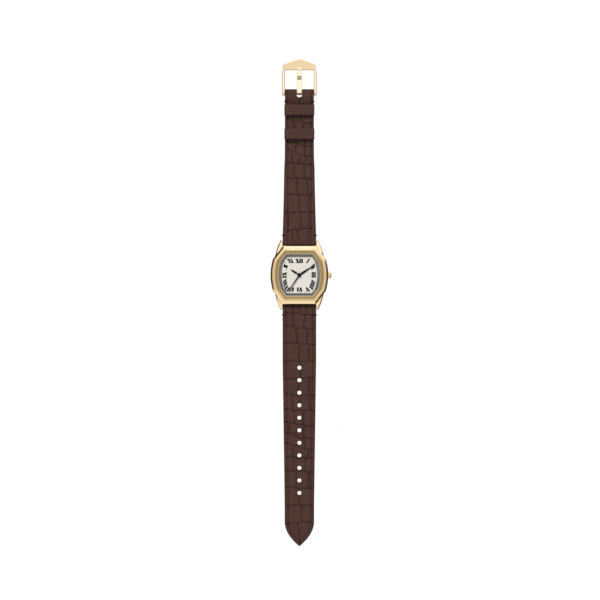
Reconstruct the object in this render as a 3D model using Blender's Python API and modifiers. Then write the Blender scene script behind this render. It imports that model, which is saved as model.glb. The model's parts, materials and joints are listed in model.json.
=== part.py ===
"""Wristwatch with a leather strap, lying flat on its case back: metres, Z up, 12 o'clock along +Y."""
import math

import bmesh
import bpy
from mathutils import Matrix, Vector

MM = 0.001

# Clearances
SEAT = 0.02 * MM
RUN = 0.05 * MM
SLIP = 0.1 * MM

# The movement, and the holder ring round it that fills the bore of the case
MOVEMENT_RADIUS = 9.3 * MM
HOLDER_WALL = 0.9 * MM
HOLDER_SHELF = 0.6 * MM

# Case outline, seen from above, at its sides, its ends and its four corner facets:
# the case beyond the movement, then the widths of the bands from its edge in to the dial
CASE_WALL = (4.25 * MM, 4.75 * MM, 5.15 * MM)
CONVEX_BAND = (2.05 * MM, 2.3 * MM, 1.85 * MM)
SLOPED_BAND = (1.6 * MM, 1.75 * MM, 1.6 * MM)
CHAPTER_BAND = (1.45 * MM, 1.35 * MM, 1.1 * MM)
FACET_ANGLE = math.radians(37.5)
SIDE_RADIUS = 25.9 * MM
SIDE_STEPS = 8

# Heights of the case pieces, from the case back up
BACK_PLATE = 0.8 * MM
BACK_SPIGOT = 0.55 * MM
MOVEMENT_GAP = 0.2 * MM
BRIDGE_THICKNESS = 0.2 * MM
LEVEL_GAP = 0.13 * MM
LEVEL_PITCH = 0.3 * MM
WHEEL_THICKNESS = 0.13 * MM
PLATE_THICKNESS = 1.0 * MM
MOTION_HEIGHT = 0.62 * MM
DIAL_THICKNESS = 0.4 * MM
DIAL_RIM = 0.05 * MM
CHAPTER_HEIGHT = 1.05 * MM
CHAPTER_FOOT = 0.12 * MM
CHAPTER_FLAT = 0.25 * MM
CRYSTAL_THICKNESS = 0.75 * MM
CRYSTAL_DOME = 0.12 * MM
CRYSTAL_EDGE = 0.15 * MM
CRYSTAL_CROWN_INSET = 3.5 * MM
GASKET_WIDTH = 0.28 * MM
BEZEL_WALL = 0.75 * MM
BEZEL_FOOT = 0.15 * MM
BEZEL_FOOT_RISE = 0.2 * MM
BEZEL_RISE = 1.55 * MM
BEZEL_CURVE = ((0.2, 0.62), (0.55, 0.92))
BEZEL_LIP = 0.85 * MM
LIP_WIDTH = 0.35 * MM
LIP_STEP = 0.05 * MM

# Case back and its screws
BACK_EDGE_INSET = 1.7 * MM
BACK_CHAMFER = 0.25 * MM
SPIGOT_WALL = 0.7 * MM
BACK_GASKET_GAP = 0.15 * MM
BACK_GASKET_WIDTH = 0.5 * MM
BACK_GASKET_DEPTH = 0.35 * MM
MID_CASE_INSET = 0.55 * MM
MID_CASE_END_INSET = 1.05 * MM
MID_CASE_CHAMFER = 0.35 * MM
BACK_SCREW_EDGE = 1.0 * MM
BACK_SCREW_SINK = 0.05 * MM
BACK_SCREW_GRIP = 1.4 * MM
SCREW_HEAD = 0.6 * MM
SCREW_SHANK = 0.3 * MM
SCREW_HEAD_DEPTH = 0.3 * MM
SCREW_SLOT = 0.2 * MM
SCREW_SLOT_DEPTH = 0.1 * MM
SCREW_HOLE_SPARE = 0.2 * MM

# Lugs and spring bars
LUG_GAP = 16.3 * MM
LUG_TIP = 2.5 * MM
# Plan of a lug: distance back from its tip, and width out from its inner face
LUG_PLAN = ((8.5 * MM, 2.4 * MM), (7.55 * MM, 3.45 * MM), (5.65 * MM, 2.95 * MM), (2.75 * MM, 2.05 * MM),
            (1.5 * MM, 1.4 * MM), (0.35 * MM, 1.05 * MM), (0.0, 0.75 * MM), (0.15 * MM, 0.0))
# Underside of a lug: distance back from its tip, and height above its root
LUG_UNDERSIDE = ((2.4 * MM, 0.0), (0.9 * MM, 0.05 * MM))
LUG_BELOW_BAR = 0.2 * MM
LUG_ABOVE_BAR = 0.5 * MM
LUG_OVER_BAR = 1.6 * MM
# Top of a lug: distance back from the spring bar, and depth below the case's top
LUG_TOP = ((2.0 * MM, 0.35 * MM), (3.8 * MM, 0.0))
LUG_BAR_OFFSET = 0.95 * MM
BAR_RADIUS = 0.75 * MM
BAR_BORE = 0.52 * MM
TIP_PIVOT = 0.4 * MM
TIP_REACH = 0.8 * MM
TIP_FLANGE = 0.65 * MM
TIP_FLANGE_WIDTH = 0.4 * MM
TIP_SHAFT = 0.45 * MM
TIP_SHAFT_LENGTH = 2.0 * MM
TIP_TRAVEL = 1.0 * MM
SPRING_TURNS = 8
SPRING_STEPS = 6
SPRING_WIRE = 0.09 * MM

# Movement: plan positions, wheels and pinions
ARBOR = 0.12 * MM
PIVOT_LENGTH = 0.2 * MM
PIVOT_HOLE_DEPTH = 0.3 * MM
CENTRE_TUBE = 0.35 * MM
CENTRE_TUBE_BORE = 0.18 * MM
HOUR_TUBE = 0.62 * MM
PINION_LEAVES = 6
CENTRE_TEETH = 45
THIRD_TEETH = 48
SECOND_TEETH = 30
FIFTH_TEETH = 36
CANNON_LEAVES = 8
MINUTE_TEETH = 24
HOUR_TEETH = 24
SETTING_TEETH = 14
ADDENDUM = 0.75
DEDENDUM = 1.0
TOOTH_TIP = 0.11
TOOTH_ROOT = 0.3
THIRD_DISTANCE = 2.16 * MM
THIRD_ANGLE = math.radians(60)
FIFTH_DISTANCE = 2.2 * MM
FIFTH_ANGLE = math.radians(-60)
ROTOR_DISTANCE = 1.4 * MM
ROTOR_ANGLE = math.radians(-30)
ROTOR_RADIUS = 0.6 * MM
MINUTE_WHEEL_DISTANCE = 1.6 * MM
MINUTE_WHEEL_ANGLE = math.radians(35)
SETTING_ANGLE = math.radians(-20)
POST = 0.2 * MM
DIAL_FOOT_RIM = 1.9 * MM
DIAL_FOOT_ANGLES = (math.radians(118), math.radians(-38))
DIAL_FOOT = 0.35 * MM
DIAL_FOOT_DEPTH = 0.4 * MM
BATTERY_RIM = 0.35 * MM
BATTERY_TRAIN_REACH = 2.15 * MM
BATTERY_THICKNESS = 2.1 * MM
BATTERY_CAP_INSET = 0.5 * MM
BATTERY_CAP_HEIGHT = 0.3 * MM
BATTERY_SHOULDER = 0.1 * MM
BATTERY_ANGLE = math.radians(200)
CLAMP_THICKNESS = 0.12 * MM
CLAMP_WIDTH = 1.6 * MM
CLAMP_OVERHANG = 0.6 * MM
BRIDGE_CENTRE = (1.2 * MM, -0.3 * MM)
BRIDGE_RADIUS = 4.4 * MM
BRIDGE_SCREWS = ((4.4 * MM, 0.9 * MM), (-1.45 * MM, 2.35 * MM))
PILLAR = 0.4 * MM
PILLAR_THREAD = 0.3 * MM
COIL_RIM = 2.5 * MM
COIL_HALF_LENGTH = 4.4 * MM
COIL_BARE_END = 1.1 * MM
COIL_RADIUS = 0.45 * MM
CORE_WIDTH = 0.5 * MM
CORE_THICKNESS = 0.25 * MM
STATOR_LEG = 0.9 * MM
STATOR_ARCH = 0.5 * MM
STATOR_BAR = 0.3 * MM
STATOR_POLE_BAR = 0.9 * MM
STATOR_LEFT = 0.96 * MM
STATOR_RIGHT = 1.2 * MM
STATOR_TOP = 1.0 * MM
STATOR_AIR_GAP = 0.2 * MM
BOARD_RIM = 0.3 * MM
BOARD_WIDTH = 2.4 * MM
BOARD_START = math.radians(25)
BOARD_END = math.radians(100)
BOARD_STEPS = 10
BOARD_THICKNESS = 0.2 * MM
QUARTZ_RADIUS = 0.6 * MM
QUARTZ_LENGTH = 4.4 * MM
QUARTZ_FROM_END = math.radians(22)
CHIP_SIZE = 1.6 * MM
CHIP_HEIGHT = 0.5 * MM
CHIP_FROM_START = math.radians(15)

# Crown and stem, along +X
CROWN_RADIUS = 1.67 * MM
CROWN_LENGTH = 1.65 * MM
CROWN_FLUTES = 20
CROWN_FLUTE_DEPTH = 0.13 * MM
FLUTE_START = 0.1
FLUTE_LAND = 0.5
FLUTE_ROOT = 0.75
# Profile of the crown: share of its radius, and share of its length in from the outer end
CROWN_PROFILE = ((0.5, 0.08), (0.85, 0.3), (1.02, 0.55), (1.02, 0.8))
CROWN_FOOT = 0.88
CROWN_RECESS = 0.35 * MM
CROWN_RECESS_DEPTH = 0.5 * MM
CROWN_CAP = 0.6 * MM
CROWN_GASKET_START = 0.15 * MM
CROWN_GASKET_LENGTH = 0.3 * MM
STEM_RADIUS = 0.35 * MM
STEM_END = 3.6 * MM
CLUTCH_RADIUS = 0.42 * MM
CLUTCH_LENGTH = 0.8 * MM
LEVER_X = 5.9 * MM
LEVER_THICKNESS = 0.4 * MM
LEVER_REACH = 2.2 * MM
LEVER_HALF_HEIGHT = 0.33 * MM
STEM_NECK = 0.2 * MM
CROWN_TRAVEL = 1.0 * MM
TUBE_RADIUS = 0.75 * MM
TUBE_INSET = 0.3 * MM

# Hands: length, widest half width, angle clockwise from 12; then shares of the width and length
HAND_THICKNESS = 0.12 * MM
HAND_STEP = 0.25 * MM
HOUR_HAND = (4.9 * MM, 0.5 * MM, math.radians(303))
MINUTE_HAND = (8.9 * MM, 0.48 * MM, math.radians(54.6))
SECOND_HAND = (7.5 * MM, 0.16 * MM, math.radians(212.8))
HUB_RADIUS = 0.95 * MM
HAND_WAIST = 0.55
HAND_POINT = 0.25
HAND_BELLY = 0.35

# Strap, measured from the spring bar outward
STRAP_SIDE_GAP = 0.17 * MM
STRAP_LUG_THICKNESS = 3.2 * MM
STRAP_PAD = (4.0 * MM, 3.3 * MM)
STRAP_BODY = (20.0 * MM, 2.7 * MM)
STRAP_THIN = (45.0 * MM, 2.0 * MM)
STRAP_LIFT_THICKNESS = 2.5 * MM
STRAP_LIFT_START = 13.0 * MM
STRAP_LIFT_END = 1.0 * MM
STRAP_TAIL_THICKNESS = 1.9 * MM
STRAP_KEEPER_THICKNESS = 2.1 * MM
LINING_THICKNESS = 0.8 * MM
LOOP_LENGTH = 2.6 * MM
LOOP_STEPS = 10
BUCKLE_STRAP_SHOULDER = 3.0 * MM
BUCKLE_STRAP_WAIST = (20.0 * MM, 7.5 * MM)
KEEPER_ZONE_HALF_WIDTH = 6.83 * MM
KEEPER_ZONE_START = 41.0 * MM
BUCKLE_STRAP_LENGTH = 71.9 * MM
BUCKLE_LOOP_RADIUS = 1.5 * MM
BUCKLE_LOOP_RAMP = (5.5 * MM, 2.0 * MM)
HOLE_STRAP_SHOULDER = 26.0 * MM
TAIL_HALF_WIDTH = 7.0 * MM
TAIL_AFTER_HOLES = 6.15 * MM
TAIL_STRAIGHT = 7.6 * MM
TIP_LENGTH = 11.2 * MM
TIP_POWER = 1.65
TIP_STEPS = 9
FIRST_HOLE = 29.15 * MM
HOLE_PITCH = 5.97 * MM
HOLE_COUNT = 11
HOLE_RADIUS = 1.1 * MM

# Keepers, measured from the buckle pin back along the strap
KEEPER_THICKNESS = 0.55 * MM
KEEPER_CORNER = 0.6 * MM
KEEPER_CORNER_STEPS = 4
FIXED_KEEPER_BACK = 5.9 * MM
FREE_KEEPER_BACK = 17.3 * MM
KEEPER_LENGTH = 4.95 * MM

# Buckle, measured from the buckle pin forward
PIN_RADIUS = 0.7 * MM
PIN_END = 0.75 * MM
BUCKLE_ARM = 1.3 * MM
BUCKLE_SIDE_GAP = 0.12 * MM
BUCKLE_HEEL_TAPER = 0.15 * MM
BUCKLE_BULGE = 4.5 * MM
BUCKLE_PLATE_EDGE = 10.8 * MM
# Plate outline: inset from the arm's outer side, and distance past the edge of the plate
BUCKLE_PLATE_PLAN = ((0.1 * MM, -1.5 * MM), (0.6 * MM, 2.2 * MM), (1.2 * MM, 2.95 * MM),
                     (5.955 * MM, 4.7 * MM))
BUCKLE_PLATE_LENGTH = 5.2 * MM
BUCKLE_INNER_CORNER = (0.3 * MM, 0.4 * MM)
BUCKLE_EYE = 1.4 * MM
# Underside of the arms: distance from the pin, and height
BUCKLE_UNDERSIDE = ((4.0 * MM, 0.55 * MM), (8.5 * MM, 0.1 * MM))
BUCKLE_ARM_TOP = (5.0 * MM, 0.75 * MM)
BUCKLE_PLATE_HEIGHT = 2.3 * MM
BUCKLE_APEX_HEIGHT = 1.3 * MM
BUCKLE_APEX_SLOPE = 0.2 * MM
TONGUE_WIDTH = 1.95 * MM
TONGUE_THICKNESS = 0.8 * MM
TONGUE_OVERLAP = 1.0 * MM
TONGUE_EYE = 1.25 * MM
# The step of the tongue: where it starts and ends before the plate, and how far its bend leans back
TONGUE_STEP = (4.4 * MM, 2.9 * MM)
TONGUE_STEP_RISE = 0.25 * MM
TONGUE_LEAN = (0.4 * MM, 0.3 * MM)
TONGUE_TIP = (1.2 * MM, 1.0 * MM)
TONGUE_SLOT = 2.4 * MM
TONGUE_SLOT_END = 2.4 * MM
TONGUE_SLOT_STEPS = 8
NOTCH_DEPTH = 0.35 * MM
NOTCH_START = 1.0 * MM

LARGE_ROUND = 32
ROUND = 24
SMALL_ROUND = 12
SHARP_ANGLE = math.radians(35)

# How far a cutter or a drawn outline passes the piece it shapes
PAST = 1.0 * MM
AXIS_MARK = 2.0 * MM
WELD = 1e-7


def polar(distance, angle, start=(0, 0)):
    return (start[0] + distance * math.cos(angle), start[1] + distance * math.sin(angle))


def inset(ring, widths):
    return tuple(size - width for size, width in zip(ring, widths))


def pair_module(distance, teeth, other_teeth):
    return 2 * distance / (teeth + other_teeth)


# Places that follow from the sizes
CASE_BORE = MOVEMENT_RADIUS + HOLDER_WALL
OUTER_RING = tuple(MOVEMENT_RADIUS + wall for wall in CASE_WALL)
RIDGE_RING = inset(OUTER_RING, CONVEX_BAND)
GLASS_RING = inset(RIDGE_RING, SLOPED_BAND)
DIAL_RING = inset(GLASS_RING, CHAPTER_BAND)
BACK_SCREW_REACH = OUTER_RING[2] - BACK_EDGE_INSET - BACK_SCREW_EDGE
BRIDGE_BOTTOM = BACK_PLATE + MOVEMENT_GAP
BRIDGE_TOP = BRIDGE_BOTTOM + BRIDGE_THICKNESS
PLATE_BOTTOM = BRIDGE_TOP + LEVEL_GAP + 4 * LEVEL_PITCH
PLATE_TOP = PLATE_BOTTOM + PLATE_THICKNESS
DIAL_BOTTOM = PLATE_TOP + MOTION_HEIGHT
DIAL_TOP = DIAL_BOTTOM + DIAL_THICKNESS
MID_CASE_BOTTOM = BACK_PLATE + SEAT
MID_CASE_TOP = DIAL_TOP + DIAL_RIM
CHAPTER_BOTTOM = DIAL_TOP + SEAT
CHAPTER_TOP = CHAPTER_BOTTOM + CHAPTER_HEIGHT
CRYSTAL_BOTTOM = CHAPTER_TOP + SEAT
CRYSTAL_TOP = CRYSTAL_BOTTOM + CRYSTAL_THICKNESS
BEZEL_BOTTOM = MID_CASE_TOP + SEAT
BEZEL_CREST = BEZEL_BOTTOM + BEZEL_WALL + BEZEL_RISE
STEM_HEIGHT = (PLATE_BOTTOM + PLATE_TOP) / 2
HOLDER_BOTTOM = BACK_PLATE + BACK_SPIGOT + SEAT
HOUR_HAND_HEIGHT = DIAL_TOP + HAND_STEP
MINUTE_HAND_HEIGHT = HOUR_HAND_HEIGHT + HAND_STEP
SECOND_HAND_HEIGHT = MINUTE_HAND_HEIGHT + HAND_STEP
STATOR_BOTTOM = BRIDGE_TOP + LEVEL_GAP + 2 * LEVEL_PITCH - SEAT
LUG_BAR_Y = OUTER_RING[1] + LUG_BAR_OFFSET
LUG_BAR_Z = STRAP_LUG_THICKNESS / 2
LUG_TIP_Y = OUTER_RING[1] + LUG_TIP
CROWN_INNER = OUTER_RING[0] + SLIP
CROWN_OUTER = CROWN_INNER + CROWN_LENGTH
STEM_TIP = CROWN_OUTER - CROWN_CAP
TUBE_OUTER_END = CROWN_INNER - SLIP
STRAP_HALF_WIDTH = LUG_GAP / 2 - STRAP_SIDE_GAP
TAIL_START = FIRST_HOLE + (HOLE_COUNT - 1) * HOLE_PITCH + TAIL_AFTER_HOLES
TIP_START = TAIL_START + TAIL_STRAIGHT
HOLE_STRAP_END = TIP_START + TIP_LENGTH
KEEPER_LIFT = KEEPER_THICKNESS + SEAT
LIFT_START = KEEPER_ZONE_START - STRAP_LIFT_START
LIFT_END = KEEPER_ZONE_START - STRAP_LIFT_END
BUCKLE_Y = LUG_BAR_Y + BUCKLE_STRAP_LENGTH
BUCKLE_Z = KEEPER_LIFT + BUCKLE_LOOP_RADIUS
BUCKLE_INNER_HALF = KEEPER_ZONE_HALF_WIDTH + BUCKLE_SIDE_GAP
BUCKLE_OUTER_HALF = BUCKLE_INNER_HALF + BUCKLE_ARM
PLATE_EDGE_Y = BUCKLE_Y + BUCKLE_PLATE_EDGE
TONGUE_TIP_Y = PLATE_EDGE_Y + TONGUE_OVERLAP
BEYOND = 2 * STRAP_HALF_WIDTH

BATTERY_RADIUS = (MOVEMENT_RADIUS - BATTERY_RIM - BATTERY_TRAIN_REACH) / 2
BATTERY_AT = polar(BATTERY_TRAIN_REACH + BATTERY_RADIUS, BATTERY_ANGLE)
BATTERY_BOTTOM = BRIDGE_BOTTOM + CLAMP_THICKNESS
BOARD_OUTER = MOVEMENT_RADIUS - BOARD_RIM
BOARD_INNER = BOARD_OUTER - BOARD_WIDTH
COIL_Y = COIL_RIM - MOVEMENT_RADIUS
DIAL_FEET = tuple(polar(MOVEMENT_RADIUS - DIAL_FOOT_RIM, angle) for angle in DIAL_FOOT_ANGLES)
THIRD_AT = polar(THIRD_DISTANCE, THIRD_ANGLE)
FIFTH_AT = polar(FIFTH_DISTANCE, FIFTH_ANGLE)
ROTOR_AT = polar(ROTOR_DISTANCE, ROTOR_ANGLE, FIFTH_AT)
MINUTE_WHEEL_AT = polar(MINUTE_WHEEL_DISTANCE, MINUTE_WHEEL_ANGLE)
MOTION_MODULE = pair_module(MINUTE_WHEEL_DISTANCE, CANNON_LEAVES, MINUTE_TEETH)
SETTING_DISTANCE = MOTION_MODULE * (MINUTE_TEETH + SETTING_TEETH) / 2
SETTING_AT = polar(SETTING_DISTANCE, SETTING_ANGLE, MINUTE_WHEEL_AT)
MOTION_LEVEL = PLATE_TOP + RUN
HOUR_LEVEL = MOTION_LEVEL + WHEEL_THICKNESS + 2 * RUN

MATERIALS = {
    'gold_plated_steel': ((0.83, 0.60, 0.29), 0.2, 1.0),
    'stainless_steel': ((0.62, 0.62, 0.60), 0.3, 1.0),
    'movement_brass': ((0.72, 0.55, 0.28), 0.35, 1.0),
    'copper_wire': ((0.66, 0.30, 0.16), 0.4, 1.0),
    'sapphire_glass': ((0.9, 0.93, 0.95), 0.02, 0.0),
    'cream_dial_lacquer': ((0.72, 0.68, 0.61), 0.5, 0.0),
    'grey_chapter_paint': ((0.2, 0.2, 0.19), 0.4, 0.0),
    'black_hand_paint': ((0.012, 0.012, 0.012), 0.35, 0.0),
    'brown_leather': ((0.085, 0.045, 0.037), 0.55, 0.0),
    'tan_lining_leather': ((0.2, 0.11, 0.065), 0.65, 0.0),
    'black_rubber': ((0.02, 0.02, 0.02), 0.7, 0.0),
    'clear_nylon': ((0.6, 0.57, 0.5), 0.4, 0.0),
    'movement_plastic': ((0.06, 0.06, 0.065), 0.5, 0.0),
    'green_board': ((0.03, 0.16, 0.07), 0.5, 0.0),
}

PLAN = Matrix.Identity(4)
SIDE = Matrix(((0, 0, 1, 0), (1, 0, 0, 0), (0, 1, 0, 0), (0, 0, 0, 1)))
FRONT = Matrix(((1, 0, 0, 0), (0, 0, -1, 0), (0, 1, 0, 0), (0, 0, 0, 1)))


def clear_scene():
    for old in list(bpy.data.objects):
        bpy.data.objects.remove(old, do_unlink=True)


def new_collection(name):
    found = bpy.data.collections.new(name)
    bpy.context.scene.collection.children.link(found)
    return found


def make_materials():
    made = {}
    for name, (colour, roughness, metallic) in MATERIALS.items():
        material = bpy.data.materials.new(name)
        material.use_nodes = True
        shader = material.node_tree.nodes['Principled BSDF']
        shader.inputs['Base Color'].default_value = (*colour, 1)
        shader.inputs['Roughness'].default_value = roughness
        shader.inputs['Metallic'].default_value = metallic
        made[name] = material
    return made


clear_scene()
PARTS = new_collection('wristwatch')
CUTTERS = new_collection('cutters')
PAINT = make_materials()


def shape_from_bmesh(name, work):
    bmesh.ops.recalc_face_normals(work, faces=work.faces)
    mesh = bpy.data.meshes.new(name)
    work.to_mesh(mesh)
    work.free()
    shape = bpy.data.objects.new(name, mesh)
    CUTTERS.objects.link(shape)
    shape.hide_render = True
    shape.display_type = 'WIRE'
    return shape


def as_part(shape, paint):
    """Move a finished shape from the helpers to the watch, with its material."""
    CUTTERS.objects.unlink(shape)
    PARTS.objects.link(shape)
    shape.hide_render = False
    shape.display_type = 'TEXTURED'
    shape.data.materials.clear()
    shape.data.materials.append(PAINT[paint])
    shape.data.shade_smooth()
    shape.data.set_sharp_from_angle(angle=SHARP_ANGLE)
    return shape


def combine(shape, other, operation):
    step = shape.modifiers.new(operation.lower(), 'BOOLEAN')
    step.operation = operation
    step.solver = 'EXACT'
    step.object = other
    return shape


def cut(shape, *others):
    for other in others:
        combine(shape, other, 'DIFFERENCE')
    return shape


def join(shape, *others):
    for other in others:
        combine(shape, other, 'UNION')
    return shape


def common(shape, other):
    return combine(shape, other, 'INTERSECT')


def settled(drawn, place=PLAN):
    """The evaluated form of a drawn object as a plain welded mesh at a place."""
    bpy.context.view_layer.update()
    graph = bpy.context.evaluated_depsgraph_get()
    mesh = bpy.data.meshes.new_from_object(drawn.evaluated_get(graph))
    name = drawn.name
    bpy.data.objects.remove(drawn, do_unlink=True)
    mesh.transform(place)
    work = bmesh.new()
    work.from_mesh(mesh)
    bmesh.ops.remove_doubles(work, verts=work.verts, dist=WELD)
    bpy.data.meshes.remove(mesh)
    return shape_from_bmesh(name, work)


def extruded(name, outlines, start, end, frame=PLAN):
    """A flat outline, with any holes, extruded from start to end along the third axis of a frame."""
    curve = bpy.data.curves.new(name, 'CURVE')
    curve.dimensions = '2D'
    curve.fill_mode = 'BOTH'
    curve.extrude = (end - start) / 2
    for outline in outlines:
        spline = curve.splines.new('POLY')
        spline.points.add(len(outline) - 1)
        for point, (u, v) in zip(spline.points, outline):
            point.co = (u, v, 0, 1)
        spline.use_cyclic_u = True
    drawn = bpy.data.objects.new(name, curve)
    CUTTERS.objects.link(drawn)
    return settled(drawn, frame @ Matrix.Translation((0, 0, (start + end) / 2)))


def cylinder(name, radius, start, end, centre=(0, 0), frame=PLAN, segments=SMALL_ROUND):
    """A round bar from start to end along the third axis of a frame, about a centre in the other two."""
    work = bmesh.new()
    place = frame @ Matrix.Translation((centre[0], centre[1], (start + end) / 2))
    bmesh.ops.create_cone(work, cap_ends=True, segments=segments, radius1=radius, radius2=radius,
                          depth=end - start, matrix=place)
    return shape_from_bmesh(name, work)


def box(name, low, high):
    work = bmesh.new()
    size = Vector(high) - Vector(low)
    middle = (Vector(high) + Vector(low)) / 2
    place = Matrix.Translation(middle) @ Matrix.Diagonal((*size, 1))
    bmesh.ops.create_cube(work, size=1, matrix=place)
    return shape_from_bmesh(name, work)


def turned(name, profile, frame=PLAN, centre=(0, 0), segments=SMALL_ROUND, ring=False):
    """A profile of radius and height pairs, from top to bottom on its outer side, turned about its axis."""
    mesh = bpy.data.meshes.new(name)
    edges = [(i, i + 1) for i in range(len(profile) - 1)]
    if ring:
        edges.append((len(profile) - 1, 0))
    mesh.from_pydata([(radius, 0, height) for radius, height in profile], edges, [])
    drawn = bpy.data.objects.new(name, mesh)
    CUTTERS.objects.link(drawn)
    screw = drawn.modifiers.new('turn', 'SCREW')
    screw.axis = 'Z'
    screw.steps = segments
    screw.render_steps = segments
    screw.use_merge_vertices = True
    screw.merge_threshold = WELD
    return settled(drawn, frame @ Matrix.Translation((centre[0], centre[1], 0)))


def loft(name, rings, closed=False):
    """Faces between rings of equal point counts: capped at both ends, or joined last to first when closed."""
    work = bmesh.new()
    rows = [[work.verts.new(point) for point in ring] for ring in rings]
    count = len(rows[0])
    pairs = list(zip(rows, rows[1:]))
    if closed:
        pairs.append((rows[-1], rows[0]))
    else:
        work.faces.new(rows[0])
        work.faces.new(rows[-1])
    for below, above in pairs:
        for i in range(count):
            j = (i + 1) % count
            work.faces.new((below[i], below[j], above[j], above[i]))
    return shape_from_bmesh(name, work)


def ring_inset(ring, distance):
    return tuple(size - distance for size in ring)


def ring_between(first, second, share):
    return tuple(a + (b - a) * share for a, b in zip(first, second))


def faceted_outline(ring):
    """Outline of the case shape: flat ends, four corner facets and two convex sides, counter-clockwise."""
    half_width, half_height, reach = ring
    facet = Vector((math.cos(FACET_ANGLE), math.sin(FACET_ANGLE)))
    along = Vector((facet.y, -facet.x))
    radius = SIDE_RADIUS - OUTER_RING[0] + half_width
    centre = Vector((half_width - radius, 0))
    start = facet * reach - centre
    travel = -start.dot(along) + math.sqrt(start.dot(along) ** 2 - start.length_squared + radius ** 2)
    shoulder = facet * reach + along * travel - centre
    sweep = math.atan2(shoulder.y, shoulder.x)
    end_x = (reach - half_height * facet.y) / facet.x
    side = []
    for i in range(SIDE_STEPS + 1):
        angle = -sweep + 2 * sweep * i / SIDE_STEPS
        side.append((centre.x + radius * math.cos(angle), radius * math.sin(angle)))
    right = [*side, (end_x, half_height)]
    left = [(-x, -y) for x, y in side]
    return [*right, (-end_x, half_height), *left, (-end_x, -half_height), (end_x, -half_height)]


def faceted_loft(name, sections, closed=False):
    """Case-shaped rings, each at its own height, lofted together."""
    rings = []
    for ring, height in sections:
        rings.append([(x, y, height) for x, y in faceted_outline(ring)])
    return loft(name, rings, closed)


def circle(radius, centre=(0, 0), segments=ROUND):
    points = []
    for i in range(segments):
        angle = 2 * math.pi * i / segments
        points.append((centre[0] + radius * math.cos(angle), centre[1] + radius * math.sin(angle)))
    return points


def arc(radius, centre, start, end, steps):
    points = []
    for i in range(steps + 1):
        angle = start + (end - start) * i / steps
        points.append(polar(radius, angle, centre))
    return points


# Gears

def gear_outline(teeth, module, phase, centre=(0, 0)):
    radius = teeth * module / 2
    pitch = 2 * math.pi / teeth
    points = []
    for i in range(teeth):
        middle = phase + i * pitch
        points.append(polar(radius - DEDENDUM * module, middle - TOOTH_ROOT * pitch, centre))
        points.append(polar(radius + ADDENDUM * module, middle - TOOTH_TIP * pitch, centre))
        points.append(polar(radius + ADDENDUM * module, middle + TOOTH_TIP * pitch, centre))
        points.append(polar(radius - DEDENDUM * module, middle + TOOTH_ROOT * pitch, centre))
    return points


def meshing_phase(phase, teeth, direction, other_teeth):
    """Phase of the driven gear that puts its gap where the driver's tooth stands."""
    share = (direction - phase) * teeth / (2 * math.pi)
    return direction + math.pi - (0.5 - share) * 2 * math.pi / other_teeth


def level(k):
    """Underside of the wheel at one level of the train."""
    return BRIDGE_TOP + LEVEL_GAP + k * LEVEL_PITCH


def train_wheel(name, at, wheel, pinion, k):
    """A wheel at one level with its pinion one level up, on an arbor between bridge and plate."""
    shape = extruded(name, [wheel], level(k), level(k) + WHEEL_THICKNESS)
    leaves = extruded(name + '_pinion', [pinion], level(k) + RUN, level(k + 1) + WHEEL_THICKNESS + RUN)
    arbor = cylinder(name + '_arbor', ARBOR, BRIDGE_BOTTOM + RUN, PLATE_BOTTOM + PIVOT_LENGTH, at)
    return as_part(join(shape, leaves, arbor), 'movement_brass')


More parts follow.
